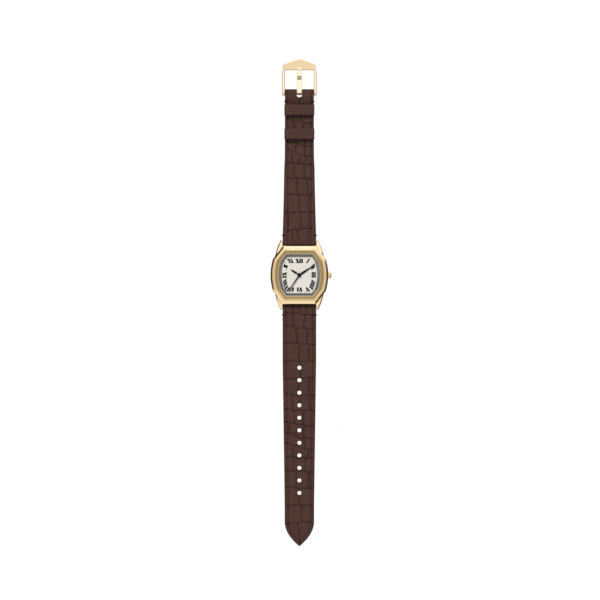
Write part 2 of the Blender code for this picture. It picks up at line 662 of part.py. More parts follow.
def make_train():
    centre_module = pair_module(THIRD_DISTANCE, CENTRE_TEETH, PINION_LEAVES)
    third_module = pair_module(THIRD_DISTANCE, THIRD_TEETH, PINION_LEAVES)
    second_module = pair_module(FIFTH_DISTANCE, SECOND_TEETH, PINION_LEAVES)
    fifth_module = pair_module(ROTOR_DISTANCE, FIFTH_TEETH, PINION_LEAVES)
    back = math.pi

    centre_phase = 0.0
    third_pinion_phase = meshing_phase(centre_phase, CENTRE_TEETH, THIRD_ANGLE, PINION_LEAVES)
    third_phase = 0.0
    second_pinion_phase = meshing_phase(third_phase, THIRD_TEETH, THIRD_ANGLE + back, PINION_LEAVES)
    second_phase = 0.0
    fifth_pinion_phase = meshing_phase(second_phase, SECOND_TEETH, FIFTH_ANGLE, PINION_LEAVES)
    fifth_phase = 0.0
    rotor_phase = meshing_phase(fifth_phase, FIFTH_TEETH, ROTOR_ANGLE, PINION_LEAVES)

    third = train_wheel('third_wheel', THIRD_AT,
                        gear_outline(THIRD_TEETH, third_module, third_phase, THIRD_AT),
                        gear_outline(PINION_LEAVES, centre_module, third_pinion_phase, THIRD_AT), 2)
    fifth = train_wheel('fifth_wheel', FIFTH_AT,
                        gear_outline(FIFTH_TEETH, fifth_module, fifth_phase, FIFTH_AT),
                        gear_outline(PINION_LEAVES, second_module, fifth_pinion_phase, FIFTH_AT), 0)

    second = extruded('second_wheel', [gear_outline(SECOND_TEETH, second_module, second_phase)],
                      level(1), level(1) + WHEEL_THICKNESS)
    leaves = extruded('second_wheel_pinion', [gear_outline(PINION_LEAVES, third_module, second_pinion_phase)],
                      level(1) + RUN, level(2) + WHEEL_THICKNESS + RUN)
    arbor = cylinder('second_wheel_arbor', ARBOR, BRIDGE_BOTTOM + RUN, SECOND_HAND_HEIGHT + RUN)
    second = as_part(join(second, leaves, arbor), 'movement_brass')

    centre = extruded('centre_wheel', [gear_outline(CENTRE_TEETH, centre_module, centre_phase)],
                      level(3), level(3) + WHEEL_THICKNESS)
    tube = cylinder('centre_wheel_tube', CENTRE_TUBE, level(3) + RUN, MINUTE_HAND_HEIGHT + HAND_THICKNESS)
    cannon = extruded('cannon_pinion', [gear_outline(CANNON_LEAVES, MOTION_MODULE, 0.0)],
                      MOTION_LEVEL - SEAT, MOTION_LEVEL + WHEEL_THICKNESS + SEAT)
    bore = cylinder('centre_wheel_bore', CENTRE_TUBE_BORE, level(3) - RUN, MINUTE_HAND_HEIGHT + HAND_STEP)
    centre = as_part(cut(join(centre, tube, cannon), bore), 'movement_brass')

    rotor = extruded('rotor', [gear_outline(PINION_LEAVES, fifth_module, rotor_phase, ROTOR_AT)],
                     level(0) - RUN, level(1) + WHEEL_THICKNESS)
    magnet = cylinder('rotor_magnet', ROTOR_RADIUS, level(1) + RUN, level(3) + WHEEL_THICKNESS, ROTOR_AT)
    arbor = cylinder('rotor_arbor', ARBOR, BRIDGE_BOTTOM + RUN, PLATE_BOTTOM + PIVOT_LENGTH, ROTOR_AT)
    rotor = as_part(join(rotor, magnet, arbor), 'stainless_steel')
    return rotor, fifth, second, third, centre


def make_motion_work():
    hour_module = pair_module(MINUTE_WHEEL_DISTANCE, HOUR_TEETH, PINION_LEAVES)
    wheel_phase = meshing_phase(0.0, CANNON_LEAVES, MINUTE_WHEEL_ANGLE, MINUTE_TEETH)
    pinion_phase = 0.0
    hour_phase = meshing_phase(pinion_phase, PINION_LEAVES, MINUTE_WHEEL_ANGLE + math.pi, HOUR_TEETH)
    setting_phase = meshing_phase(wheel_phase, MINUTE_TEETH, SETTING_ANGLE, SETTING_TEETH)

    wheel = gear_outline(MINUTE_TEETH, MOTION_MODULE, wheel_phase, MINUTE_WHEEL_AT)
    minute = extruded('minute_wheel', [wheel], MOTION_LEVEL, MOTION_LEVEL + WHEEL_THICKNESS)
    leaves = extruded('minute_wheel_pinion',
                      [gear_outline(PINION_LEAVES, hour_module, pinion_phase, MINUTE_WHEEL_AT)],
                      MOTION_LEVEL + RUN, HOUR_LEVEL + WHEEL_THICKNESS + SEAT)
    bore = cylinder('minute_wheel_bore', POST / 2 + RUN, PLATE_TOP, DIAL_BOTTOM, MINUTE_WHEEL_AT)
    minute = as_part(cut(join(minute, leaves), bore), 'movement_brass')

    setting = extruded('setting_wheel',
                       [gear_outline(SETTING_TEETH, MOTION_MODULE, setting_phase, SETTING_AT),
                        circle(POST + RUN, SETTING_AT, SMALL_ROUND)],
                       MOTION_LEVEL, MOTION_LEVEL + WHEEL_THICKNESS)
    setting = as_part(setting, 'movement_brass')

    hour = extruded('hour_wheel', [gear_outline(HOUR_TEETH, hour_module, hour_phase)],
                    HOUR_LEVEL, HOUR_LEVEL + WHEEL_THICKNESS)
    tube = cylinder('hour_wheel_tube', HOUR_TUBE, HOUR_LEVEL + RUN, HOUR_HAND_HEIGHT + HAND_THICKNESS)
    bore = cylinder('hour_wheel_bore', CENTRE_TUBE + RUN, HOUR_LEVEL - RUN, MINUTE_HAND_HEIGHT)
    hour = as_part(cut(join(hour, tube), bore), 'movement_brass')
    return minute, setting, hour


def hand(name, size, hub, bottom):
    """A flat hand: round hub and tapered pointer, turned to its place on the dial."""
    length, half_width, clockwise = size
    waist = half_width * HAND_WAIST
    point = waist * HAND_POINT
    belly = length * HAND_BELLY
    turn = Matrix.Rotation(-clockwise, 4, 'Z')
    right = [(waist, 0), (half_width, belly), (point, length)]
    blade = right + [(-x, y) for x, y in reversed(right)]
    shape = extruded(name, [blade], bottom, bottom + HAND_THICKNESS, turn)
    boss = cylinder(name + '_hub', hub, bottom, bottom + HAND_THICKNESS, segments=ROUND)
    return join(shape, boss)


def make_hands():
    hour = hand('hour_hand', HOUR_HAND, HUB_RADIUS, HOUR_HAND_HEIGHT)
    hour_hole = cylinder('hour_hand_hole', HOUR_TUBE + SEAT, DIAL_TOP, MINUTE_HAND_HEIGHT)
    hour = as_part(cut(hour, hour_hole), 'black_hand_paint')
    minute = hand('minute_hand', MINUTE_HAND, HUB_RADIUS, MINUTE_HAND_HEIGHT)
    minute_hole = cylinder('minute_hand_hole', CENTRE_TUBE + SEAT, HOUR_HAND_HEIGHT, SECOND_HAND_HEIGHT)
    minute = as_part(cut(minute, minute_hole), 'black_hand_paint')
    second = hand('second_hand', SECOND_HAND, HUB_RADIUS, SECOND_HAND_HEIGHT)
    blind_end = SECOND_HAND_HEIGHT + RUN + SEAT
    second_hole = cylinder('second_hand_hole', ARBOR + SEAT, MINUTE_HAND_HEIGHT, blind_end)
    second = as_part(cut(second, second_hole), 'black_hand_paint')
    return hour, minute, second


# Case

def corner_places(reach):
    """Points on the middle lines of the four corner facets."""
    x, y = polar(reach, FACET_ANGLE)
    return [(x, y), (-x, y), (-x, -y), (x, -y)]


def make_lugs():
    """One lug from its plan and side outlines, mirrored to four."""
    inner = LUG_GAP / 2
    root = LUG_TIP_Y - LUG_PLAN[0][0]
    plan = [(inner, root)] + [(inner + width, LUG_TIP_Y - back) for back, width in LUG_PLAN]
    low = MID_CASE_BOTTOM + SLIP
    high = MID_CASE_TOP - SLIP
    side = [(root - SLIP, low)] + [(LUG_TIP_Y - back, low + rise) for back, rise in LUG_UNDERSIDE]
    side += [(LUG_TIP_Y, LUG_BAR_Z - LUG_BELOW_BAR), (LUG_TIP_Y, LUG_BAR_Z + LUG_ABOVE_BAR),
             (LUG_BAR_Y, LUG_BAR_Z + LUG_OVER_BAR)]
    side += [(LUG_BAR_Y - back, high - drop) for back, drop in LUG_TOP] + [(root - SLIP, high)]
    lug = extruded('lugs', [plan], 0, MID_CASE_TOP + SLIP)
    slope = extruded('lug_side', [side], 0, OUTER_RING[0], SIDE)
    common(lug, slope)
    mirror = lug.modifiers.new('four', 'MIRROR')
    mirror.use_axis[0] = True
    mirror.use_axis[1] = True
    mirror.use_mirror_merge = False
    return settled(lug)


def make_mid_case():
    ring = inset(OUTER_RING, (MID_CASE_INSET, MID_CASE_END_INSET, MID_CASE_INSET))
    shape = faceted_loft('mid_case', [(ring_inset(ring, MID_CASE_CHAMFER), MID_CASE_BOTTOM),
                                      (ring, MID_CASE_BOTTOM + MID_CASE_CHAMFER), (ring, MID_CASE_TOP)])
    join(shape, make_lugs())
    bore = cylinder('case_bore', CASE_BORE, 0, DIAL_BOTTOM + RUN, segments=LARGE_ROUND)
    pocket = faceted_loft('dial_pocket', [(ring_inset(GLASS_RING, -RUN), DIAL_BOTTOM - SEAT),
                                          (ring_inset(GLASS_RING, -RUN), MID_CASE_TOP + SLIP)])
    tube = cylinder('crown_tube_hole', TUBE_RADIUS + SEAT, CASE_BORE - PAST, OUTER_RING[0],
                    (0, STEM_HEIGHT), SIDE)
    reach = LUG_GAP / 2 + TIP_REACH + RUN
    cut(shape, bore, pocket, tube)
    for name, y in (('lug_holes_12', LUG_BAR_Y), ('lug_holes_6', -LUG_BAR_Y)):
        cut(shape, cylinder(name, TIP_PIVOT + RUN, -reach, reach, (y, LUG_BAR_Z), SIDE))
    for number, place in enumerate(corner_places(BACK_SCREW_REACH), 1):
        depth = MID_CASE_BOTTOM + BACK_SCREW_GRIP + SCREW_HOLE_SPARE
        cut(shape, cylinder(f'back_screw_hole_{number}', SCREW_SHANK + RUN, 0, depth, place))
    return as_part(shape, 'gold_plated_steel')


def make_bezel():
    """Polished ring: outer wall, convex band up to the ridge, inward slope and the lip round the glass."""
    shoulder = BEZEL_BOTTOM + BEZEL_WALL
    lip = CRYSTAL_BOTTOM + BEZEL_LIP
    sections = [(ring_inset(OUTER_RING, BEZEL_FOOT), BEZEL_BOTTOM),
                (OUTER_RING, BEZEL_BOTTOM + BEZEL_FOOT_RISE), (OUTER_RING, shoulder)]
    for inward, upward in BEZEL_CURVE:
        sections.append((ring_between(OUTER_RING, RIDGE_RING, inward), shoulder + upward * BEZEL_RISE))
    sections += [(RIDGE_RING, BEZEL_CREST), (ring_inset(GLASS_RING, -LIP_WIDTH), lip + LIP_STEP),
                 (GLASS_RING, lip), (GLASS_RING, BEZEL_BOTTOM)]
    return as_part(faceted_loft('bezel', sections, closed=True), 'gold_plated_steel')


def make_glass():
    gasket_ring = ring_inset(GLASS_RING, SEAT)
    glass_ring = ring_inset(gasket_ring, GASKET_WIDTH + SEAT)
    inner = ring_inset(gasket_ring, GASKET_WIDTH)
    gasket = faceted_loft('crystal_gasket', [(gasket_ring, CRYSTAL_BOTTOM), (gasket_ring, CRYSTAL_TOP),
                                             (inner, CRYSTAL_TOP), (inner, CRYSTAL_BOTTOM)], closed=True)
    dome_ring = ring_inset(glass_ring, CRYSTAL_CROWN_INSET)
    crystal = faceted_loft('crystal', [(glass_ring, CRYSTAL_BOTTOM), (glass_ring, CRYSTAL_TOP - CRYSTAL_EDGE),
                                       (ring_inset(glass_ring, CRYSTAL_EDGE), CRYSTAL_TOP),
                                       (dome_ring, CRYSTAL_TOP + CRYSTAL_DOME)])
    as_part(crystal, 'sapphire_glass')
    as_part(gasket, 'clear_nylon')


def make_chapter_ring():
    outer = ring_inset(GLASS_RING, SEAT)
    flat = ring_inset(GLASS_RING, CHAPTER_FLAT)
    sections = [(outer, CHAPTER_BOTTOM), (outer, CHAPTER_TOP), (flat, CHAPTER_TOP),
                (DIAL_RING, CHAPTER_BOTTOM + CHAPTER_FOOT), (DIAL_RING, CHAPTER_BOTTOM)]
    return as_part(faceted_loft('chapter_ring', sections, closed=True), 'grey_chapter_paint')


def make_dial():
    ring = ring_inset(GLASS_RING, SEAT)
    shape = extruded('dial', [faceted_outline(ring), circle(HOUR_TUBE + 2 * RUN, segments=SMALL_ROUND)],
                     DIAL_BOTTOM, DIAL_TOP)
    for number, place in enumerate(DIAL_FEET, 1):
        join(shape, cylinder(f'dial_foot_{number}', DIAL_FOOT, PLATE_TOP - DIAL_FOOT_DEPTH,
                             DIAL_BOTTOM + RUN, place))
    return as_part(shape, 'cream_dial_lacquer')


def back_gasket_section(gap):
    inner = CASE_BORE + BACK_GASKET_GAP
    outer = inner + BACK_GASKET_WIDTH
    low = BACK_PLATE - BACK_GASKET_DEPTH
    return [(outer + gap, BACK_PLATE + gap), (outer + gap, low - gap), (inner - gap, low - gap),
            (inner - gap, BACK_PLATE + gap)]


def make_case_back():
    ring = ring_inset(OUTER_RING, BACK_EDGE_INSET)
    shape = faceted_loft('case_back', [(ring_inset(ring, BACK_CHAMFER), 0), (ring, BACK_CHAMFER),
                                       (ring, BACK_PLATE)])
    outer = CASE_BORE - SLIP
    inner = CASE_BORE - SPIGOT_WALL
    top = BACK_PLATE + BACK_SPIGOT
    foot = BACK_PLATE - SLIP
    spigot = turned('case_back_spigot', [(outer, top), (outer, foot), (inner, foot), (inner, top)],
                    segments=LARGE_ROUND, ring=True)
    groove = turned('gasket_groove', back_gasket_section(SEAT), segments=LARGE_ROUND, ring=True)
    cut(join(shape, spigot), groove)
    sink = BACK_SCREW_SINK + SCREW_HEAD_DEPTH + SEAT
    for number, place in enumerate(corner_places(BACK_SCREW_REACH), 1):
        cut(shape, cylinder(f'case_back_hole_{number}', SCREW_SHANK + RUN, -SLIP, BACK_PLATE + SLIP, place))
        cut(shape, cylinder(f'case_back_sink_{number}', SCREW_HEAD + RUN, -SLIP, sink, place))
        make_screw(f'case_back_screw_{number}', place, BACK_SCREW_SINK, MID_CASE_BOTTOM + BACK_SCREW_GRIP)
    gasket = turned('case_back_gasket', back_gasket_section(0), segments=LARGE_ROUND, ring=True)
    as_part(gasket, 'black_rubber')
    return as_part(shape, 'stainless_steel')


def make_screw(name, place, bottom, top):
    """A slotted screw, its head at the bottom and its shank going up."""
    head = bottom + SCREW_HEAD_DEPTH
    shape = turned(name, [(0, top), (SCREW_SHANK, top), (SCREW_SHANK, head), (SCREW_HEAD, head),
                          (SCREW_HEAD, bottom), (0, bottom)], centre=place)
    slot = box(name + '_slot', (place[0] - 2 * SCREW_HEAD, place[1] - SCREW_SLOT / 2, bottom - SLIP),
               (place[0] + 2 * SCREW_HEAD, place[1] + SCREW_SLOT / 2, bottom + SCREW_SLOT_DEPTH))
    return as_part(cut(shape, slot), 'stainless_steel')


# Movement

def make_holder():
    inner = MOVEMENT_RADIUS + RUN
    outer = CASE_BORE - SLIP
    shelf = inner - HOLDER_SHELF
    shape = turned('movement_holder',
                   [(outer, DIAL_BOTTOM - RUN), (outer, HOLDER_BOTTOM), (inner, HOLDER_BOTTOM),
                    (inner, PLATE_TOP + SEAT), (shelf, PLATE_TOP + SEAT), (shelf, DIAL_BOTTOM - RUN)],
                   segments=LARGE_ROUND, ring=True)
    hole = cylinder('holder_stem_hole', STEM_RADIUS + 2 * RUN, inner - SLIP, outer + SLIP,
                    (0, STEM_HEIGHT), SIDE)
    return as_part(cut(shape, hole), 'movement_plastic')


def make_main_plate():
    shape = cylinder('main_plate', MOVEMENT_RADIUS, PLATE_BOTTOM, PLATE_TOP, segments=LARGE_ROUND)
    for number, place in enumerate(BRIDGE_SCREWS, 1):
        join(shape, cylinder(f'pillar_{number}', PILLAR, BRIDGE_TOP + SEAT, PLATE_BOTTOM + RUN, place))
        cut(shape, cylinder(f'pillar_hole_{number}', SCREW_SHANK - RUN, BRIDGE_BOTTOM,
                            PLATE_BOTTOM + PILLAR_THREAD, place))
    join(shape, cylinder('minute_wheel_post', POST / 2, PLATE_TOP - RUN,
                         HOUR_LEVEL + WHEEL_THICKNESS, MINUTE_WHEEL_AT))
    join(shape, cylinder('setting_wheel_post', POST, PLATE_TOP - RUN, MOTION_LEVEL + WHEEL_THICKNESS + RUN,
                         SETTING_AT))
    cut(shape, cylinder('centre_hole', CENTRE_TUBE + RUN, PLATE_BOTTOM - SLIP, PLATE_TOP + SLIP))
    for name, place in (('third', THIRD_AT), ('fifth', FIFTH_AT), ('rotor', ROTOR_AT)):
        cut(shape, cylinder(name + '_pivot', ARBOR + RUN, PLATE_BOTTOM - SLIP,
                            PLATE_BOTTOM + PIVOT_HOLE_DEPTH, place))
    for number, place in enumerate(DIAL_FEET, 1):
        cut(shape, cylinder(f'foot_hole_{number}', DIAL_FOOT + RUN, PLATE_TOP - DIAL_FOOT_DEPTH - SLIP,
                            PLATE_TOP + SLIP, place))
    cut(shape, cylinder('battery_pocket', BATTERY_RADIUS + SLIP, PLATE_BOTTOM - SLIP,
                        BATTERY_BOTTOM + BATTERY_THICKNESS + RUN, BATTERY_AT, segments=ROUND))
    cut(shape, box('stem_pocket', (STEM_END - SLIP, -CLUTCH_RADIUS - SLIP, STEM_HEIGHT - CLUTCH_RADIUS - RUN),
                   (LEVER_X + LEVER_THICKNESS + CROWN_TRAVEL + SLIP, CLUTCH_RADIUS + SLIP, PLATE_TOP + SLIP)))
    cut(shape, box('lever_pocket', (LEVER_X - SLIP, -LEVER_REACH - SLIP, STEM_HEIGHT - CLUTCH_RADIUS - RUN),
                   (LEVER_X + LEVER_THICKNESS + CROWN_TRAVEL + SLIP, SEAT, PLATE_TOP + SLIP)))
    cut(shape, cylinder('stem_bore', STEM_RADIUS + RUN, LEVER_X, MOVEMENT_RADIUS + SLIP,
                        (0, STEM_HEIGHT), SIDE))
    return as_part(shape, 'movement_brass')


def make_bridge():
    shape = cylinder('train_bridge', BRIDGE_RADIUS, BRIDGE_BOTTOM, BRIDGE_TOP, BRIDGE_CENTRE, segments=ROUND)
    cut(shape, cylinder('bridge_bite', BATTERY_RADIUS + 2 * SLIP, 0, PLATE_TOP, BATTERY_AT, segments=ROUND))
    for name, place in (('centre', (0, 0)), ('third', THIRD_AT), ('fifth', FIFTH_AT), ('rotor', ROTOR_AT)):
        cut(shape, cylinder(name + '_bridge_hole', ARBOR + RUN, 0, PLATE_BOTTOM, place))
    for number, place in enumerate(BRIDGE_SCREWS, 1):
        cut(shape, cylinder(f'bridge_hole_{number}', SCREW_SHANK + SEAT, 0, PLATE_BOTTOM, place))
        cut(shape, cylinder(f'bridge_sink_{number}', SCREW_HEAD + RUN, 0, BRIDGE_BOTTOM + SLIP, place))
        make_bridge_screw(f'bridge_screw_{number}', place, BRIDGE_BOTTOM - SLIP)
    return as_part(shape, 'movement_brass')


def make_bridge_screw(name, place, bottom):
    head = BRIDGE_BOTTOM + SLIP - SEAT
    shank = SCREW_SHANK - 2 * RUN
    shape = turned(name, [(0, PLATE_BOTTOM), (shank, PLATE_BOTTOM), (shank, head), (SCREW_HEAD, head),
                          (SCREW_HEAD, bottom), (0, bottom)], centre=place)
    return as_part(shape, 'stainless_steel')


def make_power():
    top = BATTERY_BOTTOM + BATTERY_THICKNESS
    cap = BATTERY_BOTTOM + BATTERY_CAP_HEIGHT
    inner = BATTERY_RADIUS - BATTERY_CAP_INSET
    battery = turned('battery', [(0, top), (BATTERY_RADIUS, top), (BATTERY_RADIUS, cap + BATTERY_SHOULDER),
                                 (inner, cap), (inner, BATTERY_BOTTOM), (0, BATTERY_BOTTOM)],
                     centre=BATTERY_AT, segments=ROUND)
    as_part(battery, 'stainless_steel')
    turn = Matrix.Translation((*BATTERY_AT, 0)) @ Matrix.Rotation(BATTERY_ANGLE + math.pi / 2, 4, 'Z')
    half = BATTERY_RADIUS + CLAMP_OVERHANG
    side = CLAMP_WIDTH / 2
    strip = [(-half, -side), (half, -side), (half, side), (-half, side)]
    as_part(extruded('battery_clamp', [strip], BRIDGE_BOTTOM, BATTERY_BOTTOM - SEAT, turn), 'stainless_steel')


def make_circuit():
    top = PLATE_BOTTOM - SEAT
    under = top - BOARD_THICKNESS
    sector = arc(BOARD_OUTER, (0, 0), BOARD_START, BOARD_END, BOARD_STEPS)
    sector += arc(BOARD_INNER, (0, 0), BOARD_END, BOARD_START, BOARD_STEPS)
    as_part(extruded('circuit_board', [sector], under, top), 'green_board')
    middle = (BOARD_INNER + BOARD_OUTER) / 2
    x, y = polar(middle, BOARD_START + CHIP_FROM_START)
    half = CHIP_SIZE / 2
    chip = box('control_chip', (x - half, y - half, under - CHIP_HEIGHT), (x + half, y + half, under - SEAT))
    as_part(chip, 'movement_plastic')
    angle = BOARD_END - QUARTZ_FROM_END
    along = Matrix.Translation((*polar(middle, angle), under - SEAT - QUARTZ_RADIUS))
    along = along @ Matrix.Rotation(angle + math.pi / 2, 4, 'Z') @ Matrix.Rotation(math.pi / 2, 4, 'Y')
    can = cylinder('quartz_can', QUARTZ_RADIUS, -QUARTZ_LENGTH / 2, QUARTZ_LENGTH / 2, frame=along)
    as_part(can, 'stainless_steel')


def make_motor():
    low = STATOR_BOTTOM
    high = low + CORE_THICKNESS
    end = COIL_HALF_LENGTH
    core = box('coil_core', (-end, COIL_Y - CORE_WIDTH / 2, low), (end, COIL_Y + CORE_WIDTH / 2, high))
    as_part(core, 'stainless_steel')
    wound = end - COIL_BARE_END
    winding = cylinder('coil_winding', COIL_RADIUS, -wound, wound, (COIL_Y, (low + high) / 2), SIDE)
    tunnel = box('coil_tunnel', (-end, COIL_Y - CORE_WIDTH / 2 - SEAT, low - SEAT),
                 (end, COIL_Y + CORE_WIDTH / 2 + SEAT, high + SEAT))
    as_part(cut(winding, tunnel), 'copper_wire')
    foot = COIL_Y + CORE_WIDTH / 2 + RUN
    arch = foot + STATOR_ARCH
    leg = end - STATOR_LEG
    left = ROTOR_AT[0] - STATOR_LEFT
    top = ROTOR_AT[1] + STATOR_TOP
    outline = [(-end, foot), (-leg, foot), (-leg, arch), (leg, arch), (leg, foot), (end, foot)]
    outline += [(end, ROTOR_AT[1]), (ROTOR_AT[0] + STATOR_RIGHT, top), (left, top),
                (left, arch + STATOR_POLE_BAR), (-end, arch + STATOR_BAR)]
    hole = circle(ROTOR_RADIUS + STATOR_AIR_GAP, ROTOR_AT, SMALL_ROUND)
    as_part(extruded('stator', [outline, hole], low, high), 'stainless_steel')


# Crown

def make_crown():
    middle = (0, STEM_HEIGHT)
    step = 2 * math.pi / CROWN_FLUTES
    outline = []
    for i in range(CROWN_FLUTES):
        start = (i + FLUTE_START) * step
        outline.append(polar(CROWN_RADIUS, start, middle))
        outline.append(polar(CROWN_RADIUS, start + FLUTE_LAND * step, middle))
        outline.append(polar(CROWN_RADIUS - CROWN_FLUTE_DEPTH, start + FLUTE_ROOT * step, middle))
    shape = extruded('crown', [outline], CROWN_INNER, CROWN_OUTER, SIDE)
    profile = [(0, CROWN_OUTER - SEAT)]
    for across, along in CROWN_PROFILE:
        profile.append((across * CROWN_RADIUS, CROWN_OUTER - along * CROWN_LENGTH))
    profile += [(CROWN_FOOT * CROWN_RADIUS, CROWN_INNER + SEAT), (0, CROWN_INNER + SEAT)]
    common(shape, turned('crown_dome', profile, SIDE, middle, ROUND))
    recess = cylinder('crown_recess', TUBE_RADIUS + CROWN_RECESS, CROWN_INNER - SLIP,
                      CROWN_INNER + CROWN_RECESS_DEPTH, middle, SIDE)
    bore = cylinder('crown_bore', STEM_RADIUS + SEAT, CROWN_INNER - SLIP, STEM_TIP, middle, SIDE)
    crown = as_part(cut(shape, recess, bore), 'gold_plated_steel')

    neck_start = LEVER_X - RUN
    neck_end = LEVER_X + LEVER_THICKNESS + RUN
    clutch_end = STEM_END + CLUTCH_LENGTH
    profile = [(0, STEM_TIP - SEAT), (STEM_RADIUS, STEM_TIP - SEAT), (STEM_RADIUS, neck_end)]
    profile += [(STEM_NECK, neck_end), (STEM_NECK, neck_start), (STEM_RADIUS, neck_start)]
    profile += [(STEM_RADIUS, clutch_end), (CLUTCH_RADIUS, clutch_end), (CLUTCH_RADIUS, STEM_END), (0, STEM_END)]
    stem = as_part(turned('stem', profile, SIDE, middle), 'stainless_steel')

    near = CROWN_INNER + CROWN_GASKET_START
    far = near + CROWN_GASKET_LENGTH
    outer = TUBE_RADIUS + CROWN_RECESS - SEAT
    inner = STEM_RADIUS + RUN
    ring = [(outer, far), (outer, near), (inner, near), (inner, far)]
    gasket = as_part(turned('crown_gasket', ring, SIDE, middle, ring=True), 'black_rubber')

    inside = CASE_BORE + TUBE_INSET
    sleeve = [(TUBE_RADIUS, TUBE_OUTER_END), (TUBE_RADIUS, inside), (inner, inside), (inner, TUBE_OUTER_END)]
    as_part(turned('crown_tube', sleeve, SIDE, middle, ring=True), 'stainless_steel')
    return crown, stem, gasket


def make_setting_lever():
    """A forked plate in the neck of the stem."""
    slot = STEM_NECK + RUN
    low = STEM_HEIGHT - LEVER_HALF_HEIGHT
    high = STEM_HEIGHT + LEVER_HALF_HEIGHT
    fork = [(-LEVER_REACH, low), (slot, low), (slot, STEM_HEIGHT - slot), (-slot, STEM_HEIGHT - slot),
            (-slot, high), (-LEVER_REACH, high)]
    lever = extruded('setting_lever', [fork], LEVER_X, LEVER_X + LEVER_THICKNESS, SIDE)
    return as_part(lever, 'stainless_steel')


# Spring bars

def make_spring_bar(label, y):
    """A tube, its coiled spring and its two sprung tips, along X at one pair of lugs."""
    inner = LUG_GAP / 2
    face = inner - SEAT
    tube_half = face - TIP_FLANGE_WIDTH - TIP_TRAVEL - RUN
    at = (y, LUG_BAR_Z)
    sleeve = [(BAR_RADIUS, tube_half), (BAR_RADIUS, -tube_half)]
    sleeve += [(BAR_BORE, -tube_half), (BAR_BORE, tube_half)]
    as_part(turned(f'lug_bar_{label}', sleeve, SIDE, at, ring=True), 'stainless_steel')
    shaft_end = tube_half - TIP_SHAFT_LENGTH
    profile = [(0, inner + TIP_REACH), (TIP_PIVOT, inner + TIP_REACH), (TIP_PIVOT, face), (TIP_FLANGE, face),
               (TIP_FLANGE, face - TIP_FLANGE_WIDTH), (TIP_SHAFT, face - TIP_FLANGE_WIDTH),
               (TIP_SHAFT, shaft_end), (0, shaft_end)]
    tips = []
    for side, frame in (('left', Matrix.Diagonal((-1, 1, 1, 1)) @ SIDE), ('right', SIDE)):
        tips.append(as_part(turned(f'lug_bar_tip_{label}_{side}', profile, frame, at), 'stainless_steel'))
    make_spring(f'lug_bar_spring_{label}', shaft_end - RUN - SPRING_WIRE, at)
    return tips


def make_spring(name, half_length, at):
    curve = bpy.data.curves.new(name, 'CURVE')
    curve.dimensions = '3D'
    curve.bevel_depth = SPRING_WIRE
    curve.bevel_resolution = 0
    curve.use_fill_caps = True
    spline = curve.splines.new('POLY')
    steps = SPRING_TURNS * SPRING_STEPS
    spline.points.add(steps)
    coil = BAR_BORE - SPRING_WIRE - RUN
    for i, point in enumerate(spline.points):
        turn = 2 * math.pi * i / SPRING_STEPS
        along = -half_length + 2 * half_length * i / steps
        point.co = (along, at[0] + coil * math.cos(turn), at[1] + coil * math.sin(turn), 1)
    drawn = bpy.data.objects.new(name, curve)
    CUTTERS.objects.link(drawn)
    return as_part(settled(drawn), 'stainless_steel')


# Strap

def along_stations(stations, distance):
    """Value at a distance along a list of distance and value pairs, straight between them."""
    for (start, first), (end, second) in zip(stations, stations[1:]):
        if distance <= end:
            return first + (second - first) * max(0.0, distance - start) / (end - start)
    return stations[-1][1]


def underside(distance):
    """Height of the underside of the buckle strap: on the ground, then lifted over the keepers."""
    stations = [(0, 0), (LIFT_START, 0), (LIFT_END, KEEPER_LIFT), (BUCKLE_STRAP_LENGTH, KEEPER_LIFT)]
    return along_stations(stations, distance)


def buckle_strap_tops():
    """Top of the buckle strap as distance and height pairs: padded, thinned, then up to the loop at the pin."""
    ramp_start, ramp_end = BUCKLE_LOOP_RAMP
    keeper_top = KEEPER_LIFT + STRAP_KEEPER_THICKNESS
    return [STRAP_PAD, STRAP_BODY, (LIFT_START, STRAP_LIFT_THICKNESS), (LIFT_END, keeper_top),
            (BUCKLE_STRAP_LENGTH - ramp_start, keeper_top),
            (BUCKLE_STRAP_LENGTH - ramp_end, KEEPER_LIFT + 2 * BUCKLE_LOOP_RADIUS)]


def buckle_strap_plan():
    """Half of the plan of the buckle strap as distance and half width pairs."""
    return [(-STRAP_LUG_THICKNESS, STRAP_HALF_WIDTH), (BUCKLE_STRAP_SHOULDER, STRAP_HALF_WIDTH),
            BUCKLE_STRAP_WAIST, (KEEPER_ZONE_START, KEEPER_ZONE_HALF_WIDTH),
            (BUCKLE_STRAP_LENGTH + 2 * BUCKLE_LOOP_RADIUS, KEEPER_ZONE_HALF_WIDTH)]


def hole_strap_plan():
    """Half of the plan of the hole strap as distance and half width pairs, up to its pointed tip."""
    rows = [(-STRAP_LUG_THICKNESS, STRAP_HALF_WIDTH), (HOLE_STRAP_SHOULDER, STRAP_HALF_WIDTH),
            (TAIL_START, TAIL_HALF_WIDTH), (TIP_START, TAIL_HALF_WIDTH)]
    for i in range(1, TIP_STEPS):
        share = math.sin(0.5 * math.pi * i / TIP_STEPS)
        rows.append((TIP_START + TIP_LENGTH * share, TAIL_HALF_WIDTH * (1 - share ** TIP_POWER)))
    return rows


def mirrored_plan(rows, tip=None):
    right = [(width, LUG_BAR_Y + distance) for distance, width in rows]
    left = [(-x, y) for x, y in reversed(right)]
    middle = [(0, LUG_BAR_Y + tip)] if tip else []
    return right + middle + left


def strap_piece(name, plan, side):
    """What the plan and the side outline of a strap layer have in common."""
    shape = extruded(name, [plan], -PAST, BEYOND)
    return common(shape, extruded(name + '_side', [side], -BEYOND, BEYOND, SIDE))


def loop_arc(centre, radius, start, end):
    return arc(radius, centre, math.radians(start), math.radians(end), LOOP_STEPS)


